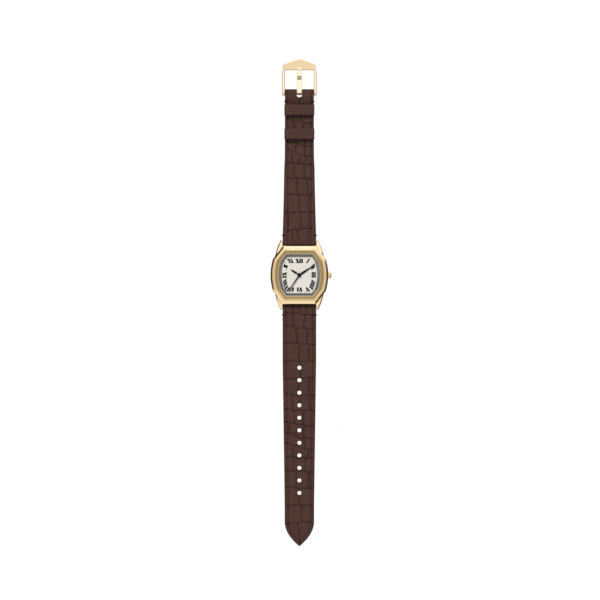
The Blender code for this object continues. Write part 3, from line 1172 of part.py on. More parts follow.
def make_buckle_strap():
    split = LINING_THICKNESS + SEAT
    end = BUCKLE_STRAP_LENGTH - LOOP_LENGTH
    side = loop_arc((LUG_BAR_Y, LUG_BAR_Z), STRAP_LUG_THICKNESS / 2, 90, 270)
    side += [(LUG_BAR_Y + LOOP_LENGTH, 0)]
    side += [(LUG_BAR_Y + at, underside(at) + split) for at in (LOOP_LENGTH, LIFT_START, LIFT_END, end)]
    side += [(LUG_BAR_Y + end, KEEPER_LIFT)]
    side += loop_arc((BUCKLE_Y, BUCKLE_Z), BUCKLE_LOOP_RADIUS, -90, 90)
    side += [(LUG_BAR_Y + at, height) for at, height in reversed(buckle_strap_tops())]
    plan = mirrored_plan(buckle_strap_plan())
    top = strap_piece('buckle_strap_top', plan, side)
    cut(top, cylinder('buckle_strap_bore', BAR_RADIUS + RUN, -BEYOND, BEYOND, (LUG_BAR_Y, LUG_BAR_Z), SIDE))
    cut(top, cylinder('buckle_pin_bore', PIN_RADIUS + RUN, -BEYOND, BEYOND, (BUCKLE_Y, BUCKLE_Z), SIDE))
    half = TONGUE_SLOT / 2
    open_end = BUCKLE_Y + 2 * BUCKLE_LOOP_RADIUS
    slot = [(half, open_end), (-half, open_end)]
    slot += arc(half, (0, BUCKLE_Y - TONGUE_SLOT_END + half), math.pi, 2 * math.pi, TONGUE_SLOT_STEPS)
    cut(top, extruded('tongue_slot', [slot], -PAST, BEYOND))
    top = as_part(top, 'brown_leather')

    lower = [LOOP_LENGTH + SEAT, LIFT_START, LIFT_END, end - SEAT]
    lining_side = [(LUG_BAR_Y + at, underside(at)) for at in lower]
    lining_side += [(LUG_BAR_Y + at, underside(at) + LINING_THICKNESS) for at in reversed(lower)]
    lining = strap_piece('buckle_strap_lining', plan, lining_side)
    return top, as_part(lining, 'tan_lining_leather')


def make_hole_strap():
    split = LINING_THICKNESS + SEAT
    seam = LUG_BAR_Y + LOOP_LENGTH
    far = LUG_BAR_Y + HOLE_STRAP_END + PAST
    side = loop_arc((LUG_BAR_Y, LUG_BAR_Z), STRAP_LUG_THICKNESS / 2, 90, 270)
    side += [(seam, 0), (seam, split), (far, split), (far, STRAP_TAIL_THICKNESS)]
    side += [(LUG_BAR_Y + at, height) for at, height in (STRAP_THIN, STRAP_BODY, STRAP_PAD)]
    plan = mirrored_plan(hole_strap_plan(), HOLE_STRAP_END)
    top = strap_piece('hole_strap_top', plan, side)
    cut(top, cylinder('hole_strap_bore', BAR_RADIUS + RUN, -BEYOND, BEYOND, (LUG_BAR_Y, LUG_BAR_Z), SIDE))
    lining_side = [(seam + SEAT, 0), (far, 0), (far, LINING_THICKNESS), (seam + SEAT, LINING_THICKNESS)]
    lining = strap_piece('hole_strap_lining', plan, lining_side)
    for number in range(HOLE_COUNT):
        at = LUG_BAR_Y + FIRST_HOLE + number * HOLE_PITCH
        hole = cylinder(f'strap_hole_{number + 1}', HOLE_RADIUS, -PAST, BEYOND, (0, at))
        cut(top, hole)
        cut(lining, hole)
    turn = Matrix.Rotation(math.pi, 4, 'Z')
    top = as_part(settled(top, turn), 'brown_leather')
    lining = as_part(settled(lining, turn), 'tan_lining_leather')
    return top, lining


def rounded_rectangle(half_width, low, high, corner):
    points = []
    for x, y, start in ((half_width - corner, high - corner, 0), (corner - half_width, high - corner, 90),
                        (corner - half_width, low + corner, 180), (half_width - corner, low + corner, 270)):
        points += arc(corner, (x, y), math.radians(start), math.radians(start + 90), KEEPER_CORNER_STEPS)
    return points


def make_keeper(name, back):
    """A leather loop round the strap with room for the tail above it."""
    inner_half = KEEPER_ZONE_HALF_WIDTH + SLIP
    ceiling = KEEPER_LIFT + STRAP_KEEPER_THICKNESS + STRAP_TAIL_THICKNESS + SLIP
    outer = rounded_rectangle(inner_half + KEEPER_THICKNESS, 0, ceiling + KEEPER_THICKNESS, KEEPER_CORNER)
    inner = rounded_rectangle(inner_half, KEEPER_THICKNESS, ceiling, SLIP)
    start = BUCKLE_Y - back
    keeper = extruded(name, [outer, inner], -start, -start + KEEPER_LENGTH, FRONT)
    return as_part(keeper, 'brown_leather')


# Buckle

def make_buckle():
    heel = BUCKLE_Y - BUCKLE_EYE - SLIP
    apex = PLATE_EDGE_Y + BUCKLE_PLATE_LENGTH
    corner_x, corner_y = BUCKLE_INNER_CORNER
    right = [(BUCKLE_INNER_HALF, heel), (BUCKLE_OUTER_HALF - BUCKLE_HEEL_TAPER, heel),
             (BUCKLE_OUTER_HALF, BUCKLE_Y + BUCKLE_BULGE)]
    right += [(BUCKLE_OUTER_HALF - inward, PLATE_EDGE_Y + past) for inward, past in BUCKLE_PLATE_PLAN]
    inner = [(BUCKLE_INNER_HALF - corner_x, PLATE_EDGE_Y), (BUCKLE_INNER_HALF, PLATE_EDGE_Y - corner_y)]
    outline = right + [(0, apex)] + [(-x, y) for x, y in reversed(right)]
    outline += [(-x, y) for x, y in reversed(inner)] + inner
    shape = extruded('buckle_frame', [outline], -PAST, BEYOND)
    arm_y, arm_rise = BUCKLE_ARM_TOP
    side = loop_arc((BUCKLE_Y, BUCKLE_Z), BUCKLE_EYE, 90, 270)
    side += [(BUCKLE_Y + at, height) for at, height in BUCKLE_UNDERSIDE]
    side += [(PLATE_EDGE_Y, 0), (apex + PAST, 0), (apex + PAST, BUCKLE_APEX_HEIGHT - BUCKLE_APEX_SLOPE),
             (PLATE_EDGE_Y, BUCKLE_PLATE_HEIGHT), (BUCKLE_Y + arm_y, BUCKLE_Z + arm_rise)]
    common(shape, extruded('buckle_side', [side], -BEYOND, BEYOND, SIDE))
    pin_half = BUCKLE_INNER_HALF + PIN_END
    cut(shape, cylinder('buckle_pin_holes', PIN_RADIUS + SEAT, -pin_half - SEAT, pin_half + SEAT,
                        (BUCKLE_Y, BUCKLE_Z), SIDE))
    half = TONGUE_WIDTH / 2 + SLIP
    cut(shape, box('tongue_notch', (-half, PLATE_EDGE_Y - NOTCH_START, BUCKLE_PLATE_HEIGHT - NOTCH_DEPTH),
                   (half, TONGUE_TIP_Y + SLIP, BEYOND)))
    frame = as_part(shape, 'gold_plated_steel')
    pin = cylinder('buckle_pin', PIN_RADIUS, -pin_half, pin_half, (BUCKLE_Y, BUCKLE_Z), SIDE)
    return frame, as_part(pin, 'gold_plated_steel')


def make_tongue():
    """A bent strip with an eye round the pin, stepped up before it rests in the notch of the plate."""
    start = PLATE_EDGE_Y - TONGUE_STEP[0]
    rise = PLATE_EDGE_Y - TONGUE_STEP[1]
    start_lean, rise_lean = TONGUE_LEAN
    tip_under, tip_over = TONGUE_TIP
    rest = BUCKLE_PLATE_HEIGHT - NOTCH_DEPTH + RUN
    low = BUCKLE_Z - TONGUE_THICKNESS / 2
    step = rest + TONGUE_STEP_RISE
    join_angle = math.degrees(math.asin(TONGUE_THICKNESS / 2 / TONGUE_EYE))
    outline = loop_arc((BUCKLE_Y, BUCKLE_Z), TONGUE_EYE, join_angle, 360 - join_angle)
    outline += [(start, low), (rise, step), (TONGUE_TIP_Y - tip_under, rest), (TONGUE_TIP_Y, rest)]
    outline += [(TONGUE_TIP_Y, rest + TONGUE_THICKNESS / 2), (TONGUE_TIP_Y - tip_over, rest + TONGUE_THICKNESS)]
    outline += [(rise - rise_lean, step + TONGUE_THICKNESS), (start - start_lean, low + TONGUE_THICKNESS)]
    hole = circle(PIN_RADIUS + RUN, (BUCKLE_Y, BUCKLE_Z), SMALL_ROUND)
    tongue = extruded('tongue', [outline, hole], -TONGUE_WIDTH / 2, TONGUE_WIDTH / 2, SIDE)
    return as_part(tongue, 'gold_plated_steel')


def on_axis(name, place, pieces, parent=None):
    """An empty on a joint axis, with the pieces that turn or slide on it."""
    empty = bpy.data.objects.new(name, None)
    empty.empty_display_size = AXIS_MARK
    PARTS.objects.link(empty)
    empty.matrix_world = Matrix.Translation(place)
    if parent:
        empty.parent = parent
        empty.matrix_parent_inverse = parent.matrix_world.inverted()
    bpy.context.view_layer.update()
    for piece in pieces:
        piece.parent = empty
        piece.matrix_parent_inverse = empty.matrix_world.inverted()
    return empty


def build():
    make_mid_case()
    make_bezel()
    make_glass()
    make_chapter_ring()
    make_dial()
    make_case_back()
    make_holder()
    make_main_plate()
    make_bridge()
    make_power()
    make_circuit()
    make_motor()
    rotor, fifth, second, third, centre = make_train()
    minute, setting, hour = make_motion_work()
    hour_hand, minute_hand, second_hand = make_hands()
    on_axis('rotor_axis', (*ROTOR_AT, 0), [rotor])
    on_axis('fifth_axis', (*FIFTH_AT, 0), [fifth])
    on_axis('third_axis', (*THIRD_AT, 0), [third])
    on_axis('minute_wheel_axis', (*MINUTE_WHEEL_AT, 0), [minute])
    on_axis('setting_wheel_axis', (*SETTING_AT, 0), [setting])
    on_axis('hour_axis', (0, 0, 0), [hour, hour_hand])
    on_axis('minute_axis', (0, 0, 0), [centre, minute_hand])
    on_axis('second_axis', (0, 0, 0), [second, second_hand])

    crown, stem, gasket = make_crown()
    pull = on_axis('crown_pull_axis', (LEVER_X, 0, STEM_HEIGHT), [make_setting_lever()])
    on_axis('crown_turn_axis', (CROWN_INNER, 0, STEM_HEIGHT), [crown, stem, gasket], pull)

    for label, y in (('12', LUG_BAR_Y), ('6', -LUG_BAR_Y)):
        for tip in make_spring_bar(label, y):
            on_axis(tip.name + '_axis', (0, y, LUG_BAR_Z), [tip])

    strap_top, strap_lining = make_buckle_strap()
    strap = on_axis('buckle_strap_axis', (0, LUG_BAR_Y, LUG_BAR_Z),
                    [strap_top, strap_lining, make_keeper('fixed_keeper', FIXED_KEEPER_BACK)])
    on_axis('free_keeper_axis', (0, BUCKLE_Y - FREE_KEEPER_BACK, 0),
            [make_keeper('free_keeper', FREE_KEEPER_BACK)], strap)
    frame, pin = make_buckle()
    buckle = on_axis('buckle_axis', (0, BUCKLE_Y, BUCKLE_Z), [frame, pin], strap)
    on_axis('tongue_axis', (0, BUCKLE_Y, BUCKLE_Z), [make_tongue()], buckle)
    on_axis('hole_strap_axis', (0, -LUG_BAR_Y, LUG_BAR_Z), list(make_hole_strap()))


build()
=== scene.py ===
"""Looks of a gold-tone wristwatch on a brown leather strap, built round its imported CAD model.

Lengths are in millimetres until a mesh is made. X points to the crown, Y to the buckle, Z up.
"""
import json
import math

import bmesh
import bpy
import numpy as np
from mathutils import Euler, Matrix, Vector


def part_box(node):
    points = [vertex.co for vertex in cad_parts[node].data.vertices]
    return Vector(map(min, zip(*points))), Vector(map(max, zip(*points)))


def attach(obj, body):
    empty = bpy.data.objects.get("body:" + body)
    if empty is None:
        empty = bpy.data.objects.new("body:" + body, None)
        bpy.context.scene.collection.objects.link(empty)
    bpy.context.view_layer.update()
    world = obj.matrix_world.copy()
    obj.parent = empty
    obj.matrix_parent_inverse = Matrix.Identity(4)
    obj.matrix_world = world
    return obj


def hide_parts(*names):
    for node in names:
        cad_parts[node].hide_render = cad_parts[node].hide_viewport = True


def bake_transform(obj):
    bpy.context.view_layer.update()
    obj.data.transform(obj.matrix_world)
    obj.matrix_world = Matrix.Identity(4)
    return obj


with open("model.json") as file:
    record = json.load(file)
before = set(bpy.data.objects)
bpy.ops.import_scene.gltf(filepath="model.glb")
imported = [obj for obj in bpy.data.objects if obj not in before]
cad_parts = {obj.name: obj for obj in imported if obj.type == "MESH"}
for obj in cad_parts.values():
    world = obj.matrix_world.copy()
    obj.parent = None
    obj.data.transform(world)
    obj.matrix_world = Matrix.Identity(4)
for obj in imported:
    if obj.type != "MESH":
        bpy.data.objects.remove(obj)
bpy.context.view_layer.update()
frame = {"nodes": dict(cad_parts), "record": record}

MM = 0.001
WELD = 1e-7

# Case shape: half width, half height and reach of the corner facets
OUTER_RING = (13.72, 14.05, 14.62)
RIDGE_RING = (11.85, 11.7, 12.75)
GLASS_RING = (9.9, 10.0, 11.0)
DIAL_RING = (8.45, 8.65, 9.9)
FACET_ANGLE = math.radians(37.5)
SIDE_RADIUS = 25.9
SIDE_STEPS = 24
DIAL_TOP = 4.55
STEM_HEIGHT = 3.03
LUG_BAR_Y = 15.0
LUG_BAR_Z = 1.6
PIN_Y = 86.9
PIN_Z = 2.07


def colour(code):
    """sRGB hex to linear red, green, blue and alpha."""
    parts = [int(code[i:i + 2], 16) / 255 for i in (1, 3, 5)]
    return (*(c / 12.92 if c <= 0.04045 else ((c + 0.055) / 1.055) ** 2.4 for c in parts), 1.0)


def plug(tree, node, inputs):
    """Gives a node its inputs: each is a plain value or the socket that it is linked to."""
    for name, value in inputs.items():
        if isinstance(value, bpy.types.NodeSocket):
            tree.links.new(value, node.inputs[name])
        else:
            node.inputs[name].default_value = value
    return node


def add(tree, kind, inputs=None, **settings):
    """Adds a node with its settings and its inputs."""
    node = tree.nodes.new(kind)
    for name, value in settings.items():
        setattr(node, name, value)
    return plug(tree, node, inputs or {})


def number(tree, operation, *values):
    """One step of arithmetic on numbers."""
    return add(tree, "ShaderNodeMath", dict(enumerate(values)), operation=operation).outputs[0]


def vector(tree, operation, *values, scale=None):
    """One step of arithmetic on vectors; a length or a dot product gives a number."""
    inputs = dict(enumerate(values)) if scale is None else {0: values[0], "Scale": scale}
    node = add(tree, "ShaderNodeVectorMath", inputs, operation=operation)
    return node.outputs["Value" if operation in ("LENGTH", "DOT_PRODUCT") else "Vector"]


def spread(tree, value, low, high, start=0.0, stop=1.0, ease="LINEAR"):
    """Maps a value between start and stop to one between low and high."""
    return add(tree, "ShaderNodeMapRange", {"Value": value, "From Min": start, "From Max": stop, "To Min": low,
                                            "To Max": high}, interpolation_type=ease).outputs[0]


# Materials

def new_material(name):
    """A material with its tree, its object coordinates and its Principled shader."""
    material = bpy.data.materials.new(name)
    material.use_nodes = True
    tree = material.node_tree
    shader = tree.nodes["Principled BSDF"]
    place = add(tree, "ShaderNodeTexCoord").outputs["Object"]
    return material, tree, shader, place


def per_mm(size):
    """Texture scale that gives one feature for this many millimetres."""
    return 1 / (size * MM)


def noise(tree, place, size, detail=2.0):
    """Cloudy noise with blots of this size in millimetres."""
    return add(tree, "ShaderNodeTexNoise", {"Vector": place, "Scale": per_mm(size), "Detail": detail}).outputs["Fac"]


def mix(tree, share, first, second):
    """One colour going over to another; each is a hex code or a socket."""
    first, second = (colour(part) if isinstance(part, str) else part for part in (first, second))
    return add(tree, "ShaderNodeMix", {"Factor": share, 6: first, 7: second}, data_type="RGBA").outputs[2]


def bumped(tree, height, strength, distance):
    """Normals of a surface that rises by this many millimetres."""
    return add(tree, "ShaderNodeBump", {"Height": height, "Strength": strength, "Distance": distance * MM}).outputs[0]


def metal(name, light, dark, roughness, streak, stretch, depth):
    """Metal with faint streaks: light and dark are its colours, streak the width of a polishing mark."""
    material, tree, shader, place = new_material(name)
    marks = noise(tree, add(tree, "ShaderNodeMapping", {"Vector": place, "Scale": stretch}).outputs[0], streak, 3.0)
    plug(tree, shader, {"Metallic": 1.0, "Base Color": mix(tree, marks, dark, light),
                        "Roughness": spread(tree, marks, roughness * 0.75, roughness * 1.25),
                        "Normal": bumped(tree, marks, depth, 0.02)})
    return material


def gold_plating():
    """Gold over steel: polished, and satin where a point attribute says so, with its colour darkened there as painted
    shade.
    """
    material, tree, shader, place = new_material("gold_plating_polished")
    marks = noise(tree, place, 1.2)
    satin_shade = add(tree, "ShaderNodeAttribute", attribute_name="satin_shade").outputs["Fac"]
    mirror = mix(tree, marks, "#FDDDA9", "#FEE0AE")
    # Painted shade: the satin gold is given a darker colour
    brushed = mix(tree, marks, "#AC915C", "#B79C67")
    dull = spread(tree, satin_shade, 0.13, 0.52)
    plug(tree, shader, {"Metallic": 1.0, "Base Color": mix(tree, satin_shade, mirror, brushed),
                        "Roughness": number(tree, "MULTIPLY_ADD", marks, 0.04, dull),
                        "Normal": bumped(tree, marks, 0.015, 0.02)})
    return material


def coated(name, light, dark, roughness, grain, depth, gloss=0.5, painted_light_fade=0.0):
    """Paint, plastic or rubber with a fine grain; a fade paints light towards the buckle's end of the dial and shade at
    the other.
    """
    material, tree, shader, place = new_material(name)
    speckle = noise(tree, place, grain, 4.0)
    tone = mix(tree, speckle, dark, light)
    # Painted light and shade: lighter towards +Y, darker towards -Y
    if painted_light_fade:
        end = add(tree, "ShaderNodeSeparateXYZ", {"Vector": place}).outputs["Y"]
        tone = vector(tree, "SCALE", tone, scale=spread(tree, end, 1 - painted_light_fade, 1 + painted_light_fade, -10 * MM, 10 * MM))
    plug(tree, shader, {"Base Color": tone, "Roughness": roughness, "Specular IOR Level": gloss,
                        "Normal": bumped(tree, speckle, depth, 0.03)})
    return material


def leather(name, light, dark, crease, roughness, grain):
    """Calf leather: cloudy colour, fine pores, and a dark colour from a point attribute: dark dye on cut edges, painted
    shade elsewhere.
    """
    material, tree, shader, place = new_material(name)
    cloud = noise(tree, place, 6.0, 3.0)
    pores = add(tree, "ShaderNodeTexVoronoi", {"Vector": place, "Scale": per_mm(grain)}).outputs["Distance"]
    groove = add(tree, "ShaderNodeAttribute", attribute_name="crease").outputs["Fac"]
    plug(tree, shader, {"Base Color": mix(tree, groove, mix(tree, cloud, dark, light), crease),
                        "Roughness": spread(tree, cloud, roughness - 0.08, roughness + 0.08),
                        "Normal": bumped(tree, number(tree, "ADD", pores, cloud), 0.4, 0.06),
                        "IOR": 1.45, "Specular IOR Level": 0.12})
    return material


def mineral_glass():
    """Clear glass: light passes straight through, and only its edge and its glancing gloss show."""
    material, tree, shader, place = new_material("mineral_glass_polished")
    facing = add(tree, "ShaderNodeLayerWeight", {"Blend": 0.12}).outputs["Fresnel"]
    plug(tree, shader, {"Base Color": colour("#2A3034"), "IOR": 1.52, "Alpha": spread(tree, facing, 0.0, 0.35),
                        "Roughness": spread(tree, noise(tree, place, 4.0), 0.02, 0.05)})
    return material


# Plating over polished steel takes its shade from the light; where brushed it is duller, and its colour there is
# darkened as painted shade
polished_gold = gold_plating()
# Wire brush lines too fine to see at this size, drawn 0.3 mm wide, over grey steel
brushed_steel = metal("stainless_steel_brushed", "#D4D4D0", "#BDBDB8", 0.28, 0.3, (1, 8, 1), 0.2)
# Rolled brass of the plates and wheels: warm, dull, lightly grained
rolled_brass = metal("movement_brass_rolled", "#D8B26E", "#C49C58", 0.34, 0.4, (1, 5, 1), 0.2)
# Varnished copper wire: orange metal under clear enamel
copper_wire = metal("copper_wire_enamelled", "#D08A58", "#B06A3C", 0.35, 0.25, (1, 12, 12), 0.3)
# Cream lacquer sprayed over a grained blank: matt, with a grain drawn 0.5 mm coarse so that it shows
dial_lacquer = coated("dial_lacquer_cream", "#EAE4D8", "#DFD8CB", 0.6, 0.5, 0.1, gloss=0.3)
# Grey paint of the chapter ring: smooth, slightly uneven, with painted light towards the buckle and painted shade
# towards the other end
chapter_paint = coated("chapter_paint_grey", "#6E6C66", "#5B5953", 0.5, 0.4, 0.1, gloss=0.3, painted_light_fade=0.6)
# Pale printed marks, with the same painted light and shade
mark_print = coated("mark_print_pale", "#B8B4A9", "#AAA69B", 0.55, 0.3, 0.05, gloss=0.3, painted_light_fade=0.5)
# Black ink printed on the dial: dense and slightly raised
numeral_ink = coated("numeral_ink_black", "#120E0B", "#0B0807", 0.6, 0.3, 0.05, gloss=0.1)
# Black lacquered hands: smooth, a soft gloss
hand_lacquer = coated("hand_lacquer_black", "#110D0B", "#0B0807", 0.45, 0.4, 0.02, gloss=0.15)
# Nitrile rubber: matt black
seal_rubber = coated("nitrile_rubber_moulded", "#1C1C1C", "#141414", 0.65, 0.3, 0.15)
# Nylon: pale, waxy
case_nylon = coated("nylon_moulded", "#CFC9BB", "#C2BBAC", 0.42, 0.5, 0.05)
# Nylon ring round the glass: the same, smoked grey
gasket_nylon = coated("nylon_moulded_smoked", "#A19D94", "#918D84", 0.45, 0.5, 0.05)
# Epoxy of the chip and coil former: matt black with a fine grit
chip_epoxy = coated("epoxy_moulded_black", "#37373A", "#2B2B2E", 0.55, 0.2, 0.2)
# Circuit board: green resist over glass cloth
board_laminate = coated("board_laminate_green", "#2A6B42", "#1F5735", 0.4, 0.3, 0.1)
# Calf leather pressed with a scale pattern, dyed brown and lightly finished; its darkest colour is painted shade in
# creases and dye on cut edges
strap_leather = leather("calf_leather_embossed", "#533A32", "#452D26", "#180A07", 0.5, 0.35)
# Plain calf bands of the keepers: the same hide without the scale pattern, a little lighter
keeper_leather = leather("calf_leather_plain", "#5F443C", "#533B33", "#180A07", 0.48, 0.35)
# Split leather under the strap: paler, matt and fibrous
lining_leather = leather("split_leather_lining", "#A5805F", "#8E6B4D", "#6B4C34", 0.7, 0.5)
# Waxed thread: nearly black, a low sheen along the twist
waxed_thread = coated("polyester_thread_waxed", "#211310", "#180C0A", 0.5, 0.15, 0.4, gloss=0.2)
clear_glass = mineral_glass()

SLOT_FINISH = {
    "gold": polished_gold, "steel": brushed_steel, "movement_brass": rolled_brass, "copper": copper_wire,
    "crystal": clear_glass, "dial": dial_lacquer, "chapter": chapter_paint, "hands": hand_lacquer,
    "leather": strap_leather, "lining": lining_leather, "rubber": seal_rubber, "nylon": case_nylon,
    "movement_plastic": chip_epoxy, "board": board_laminate,
}
for row in frame["record"]["subparts"]:
    slots = frame["nodes"][row["node"]].data.materials
    slots.clear()
    slots.append(gasket_nylon if row["node"] == "crystal_gasket" else SLOT_FINISH[row["material_slot"]])


# Meshes

def new_object(name, points, faces, edges=()):
    """A mesh object from points in millimetres."""
    mesh = bpy.data.meshes.new(name)
    mesh.from_pydata([Vector(p) * MM for p in points], edges, faces)
    obj = bpy.data.objects.new(name, mesh)
    bpy.context.scene.collection.objects.link(obj)
    return obj


def clean(obj):
    """Merges doubles and turns the faces outwards."""
    work = bmesh.new()
    work.from_mesh(obj.data)
    bmesh.ops.remove_doubles(work, verts=work.verts, dist=WELD)
    bmesh.ops.recalc_face_normals(work, faces=work.faces)
    work.to_mesh(obj.data)
    work.free()
    return obj


def settle(obj):
    """Applies the modifiers: the evaluated mesh becomes the piece's own."""
    bpy.context.view_layer.update()
    mesh = bpy.data.meshes.new_from_object(obj.evaluated_get(bpy.context.evaluated_depsgraph_get()))
    obj.modifiers.clear()
    obj.data = mesh
    return obj


def dress(obj, finish, body, slot, *nodes, sharp=30):
    """Gives a finished mesh its material and smooth faces, and sets it on its body, unless it bends between two."""
    if finish:
        obj.data.materials.clear()
        obj.data.materials.append(finish)
    obj.data.shade_smooth()
    obj.data.set_sharp_from_angle(angle=math.radians(sharp))
    if body:
        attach(obj, body)
    if nodes:
        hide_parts(*nodes)
    return obj


def grown(obj, name, finish, sizes, wire):
    """Runs a Geometry Nodes tree with named sizes on a piece and keeps the result as a plain mesh."""
    tree = bpy.data.node_groups.new(name, "GeometryNodeTree")
    tree.interface.new_socket("Geometry", in_out="INPUT", socket_type="NodeSocketGeometry")
    tree.interface.new_socket("Geometry", in_out="OUTPUT", socket_type="NodeSocketGeometry")
    sockets = {}
    for label, value in sizes.items():
        kind = "NodeSocketInt" if isinstance(value, int) else "NodeSocketFloat"
        sockets[label] = tree.interface.new_socket(label, in_out="INPUT", socket_type=kind).identifier
    source = add(tree, "NodeGroupInput").outputs
    realized = add(tree, "GeometryNodeRealizeInstances", {"Geometry": wire(tree, source)})
    painted = add(tree, "GeometryNodeSetMaterial", {"Geometry": realized.outputs[0], "Material": finish})
    add(tree, "NodeGroupOutput", {"Geometry": painted.outputs[0]})
    modifier = obj.modifiers.new(name, "NODES")
    modifier.node_group = tree
    for label, value in sizes.items():
        modifier[sockets[label]] = value
    return settle(obj)


def tube(tree, curve, radius, sides):
    """A round wire along a curve."""
    circle = add(tree, "GeometryNodeCurvePrimitiveCircle", {"Resolution": sides, "Radius": radius})
    return add(tree, "GeometryNodeCurveToMesh", {"Curve": curve, "Profile Curve": circle.outputs[0],
                                                 "Fill Caps": True}).outputs[0]


def carved(obj, tool, operation="DIFFERENCE"):
    """Cuts one closed mesh out of another, or joins or overlaps the two, and uses up the tool."""
    modifier = obj.modifiers.new("cut", "BOOLEAN")
    modifier.operation = operation
    modifier.solver = "EXACT"
    modifier.object = tool
    settle(obj)
    bpy.data.objects.remove(tool)
    return obj


def loft(rings, closed=False, capped=True):
    """Points and faces between rings of equal counts: joined last to first when closed, or capped."""
    count = len(rings[0])
    points = [point for ring in rings for point in ring]
    pairs = list(zip(range(len(rings)), range(1, len(rings))))
    if closed:
        pairs.append((len(rings) - 1, 0))
    faces = []
    for below, above in pairs:
        for i in range(count):
            j = (i + 1) % count
            faces.append((below * count + i, below * count + j, above * count + j, above * count + i))
    if not closed and capped:
        faces += [tuple(range(count)), tuple(range(len(points) - count, len(points)))]
    return points, faces


def solid(name, rings, **ends):
    """A clean mesh object lofted through rings."""
    return clean(new_object(name, *loft(rings, **ends)))


def round_angles(count):
    """Even angles round a circle."""
    return [2 * math.pi * i / count for i in range(count)]


def corner_turns(corners, steps):
    """The values of each of four corners with the angles of its quarter turn, counter-clockwise from the first."""
    for k, corner in enumerate(corners):
        for i in range(steps + 1):
            yield (*corner, math.radians(90 * k + 90 * i / steps))


def inset(ring, distance):
    """A smaller ring, or a larger one for a negative distance."""
    return tuple(size - distance for size in ring)


def between(first, second, share):
    """A ring part of the way from one to another."""
    return tuple(a + (b - a) * share for a, b in zip(first, second))


def faceted_outline(ring):
    """Outline of the case shape: flat ends, four corner facets and two convex sides, counter-clockwise."""
    half_width, half_height, reach = ring
    facet = Vector((math.cos(FACET_ANGLE), math.sin(FACET_ANGLE)))
    along = Vector((facet.y, -facet.x))
    radius = SIDE_RADIUS - OUTER_RING[0] + half_width
    centre = Vector((half_width - radius, 0))
    start = facet * reach - centre
    travel = -start.dot(along) + math.sqrt(start.dot(along) ** 2 - start.length_squared + radius ** 2)
    shoulder = facet * reach + along * travel - centre
    sweep = math.atan2(shoulder.y, shoulder.x)
    end_x = (reach - half_height * facet.y) / facet.x
    side = []
    for i in range(SIDE_STEPS + 1):
        angle = -sweep + 2 * sweep * i / SIDE_STEPS
        side.append((centre.x + radius * math.cos(angle), radius * math.sin(angle)))
    left = [(-x, -y) for x, y in side]
    return [*side, (end_x, half_height), (-end_x, half_height), *left, (-end_x, -half_height), (end_x, -half_height)]


def faceted_rings(sections):
    """Outlines in space from pairs of ring and height."""
    return [[(x, y, height) for x, y in faceted_outline(ring)] for ring, height in sections]


# Case

def set_points(obj, name, values):
    """Stores one number for each point of a mesh."""
    layer = obj.data.attributes.new(name, "FLOAT", "POINT")
    layer.data.foreach_set("value", np.asarray(values, np.float32))


def make_bezel():
    """Outer wall, a rounded band up to a soft ridge, the satin slope with painted shade in its colour, and a thin lip
    at the glass.
    """
    foot, shoulder, crest, fullness, steps = 4.62, 5.3, 6.92, 1.8, 18
    # Each section: ring, height, and how satin it is, which also darkens its colour as painted shade
    sections = [(inset(OUTER_RING, 0.15), foot, 0), (inset(OUTER_RING, 0.03), 4.7, 0), (OUTER_RING, 4.82, 0),
                (OUTER_RING, shoulder, 0)]
    for i in range(1, steps):
        angle = 0.5 * math.pi * i / steps
        share = 1 - math.cos(angle) ** (2 / fullness)
        sections.append((between(OUTER_RING, RIDGE_RING, share),
                         shoulder + (crest - shoulder) * math.sin(angle) ** (2 / fullness),
                         0.35 * max(0.0, (share - 0.8) / 0.2)))
    lip = inset(GLASS_RING, -0.3)
    sections += [(RIDGE_RING, crest, 0.4), (between(RIDGE_RING, lip, 0.15), crest - 0.04, 0.65),
                 (between(RIDGE_RING, lip, 0.35), 6.8, 1), (between(RIDGE_RING, lip, 0.7), 6.66, 1),
                 (between(RIDGE_RING, lip, 0.96), 6.56, 0.9), (lip, 6.55, 0.75), (inset(GLASS_RING, -0.1), 6.54, 0.7),
                 (GLASS_RING, 6.49, 0.8), (GLASS_RING, foot, 1)]
    rings = faceted_rings([(ring, height) for ring, height, _ in sections])
    bezel = new_object("bezel_ring", *loft(rings, closed=True))
    set_points(bezel, "satin_shade", [satin_shade for _, _, satin_shade in sections for _ in rings[0]])
    dress(clean(bezel), polished_gold, "case", "gold", "bezel", sharp=18)


# Lug: distance along Y, outer edge in X, top height
LUG = (
    (7.9, 11.2, 4.56), (8.4, 11.48, 4.56), (9.0, 11.55, 4.56), (9.6, 11.45, 4.55), (10.4, 11.25, 4.53),
    (11.2, 11.03, 4.48), (12.0, 10.8, 4.37), (12.8, 10.54, 4.19), (13.6, 10.26, 3.9), (14.3, 9.97, 3.57),
    (15.0, 9.62, 3.17), (15.6, 9.36, 2.78), (16.1, 9.18, 2.42), (16.38, 9.05, 2.18), (16.5, 8.94, 2.04),
    (16.55, 8.8, 1.92),
)
# Rounded back of a lug: distance in from its outer edge, and share of the bevel's drop
LUG_BACK = ((0.62, 0.0), (0.56, 0.01), (0.47, 0.05), (0.38, 0.15), (0.18, 0.52), (0.04, 0.84), (0.0, 1.0))
LUG_END = LUG[-1][0]
LUG_INNER = 8.15
MID_CASE_RING = (12.94, 12.94, 13.84)


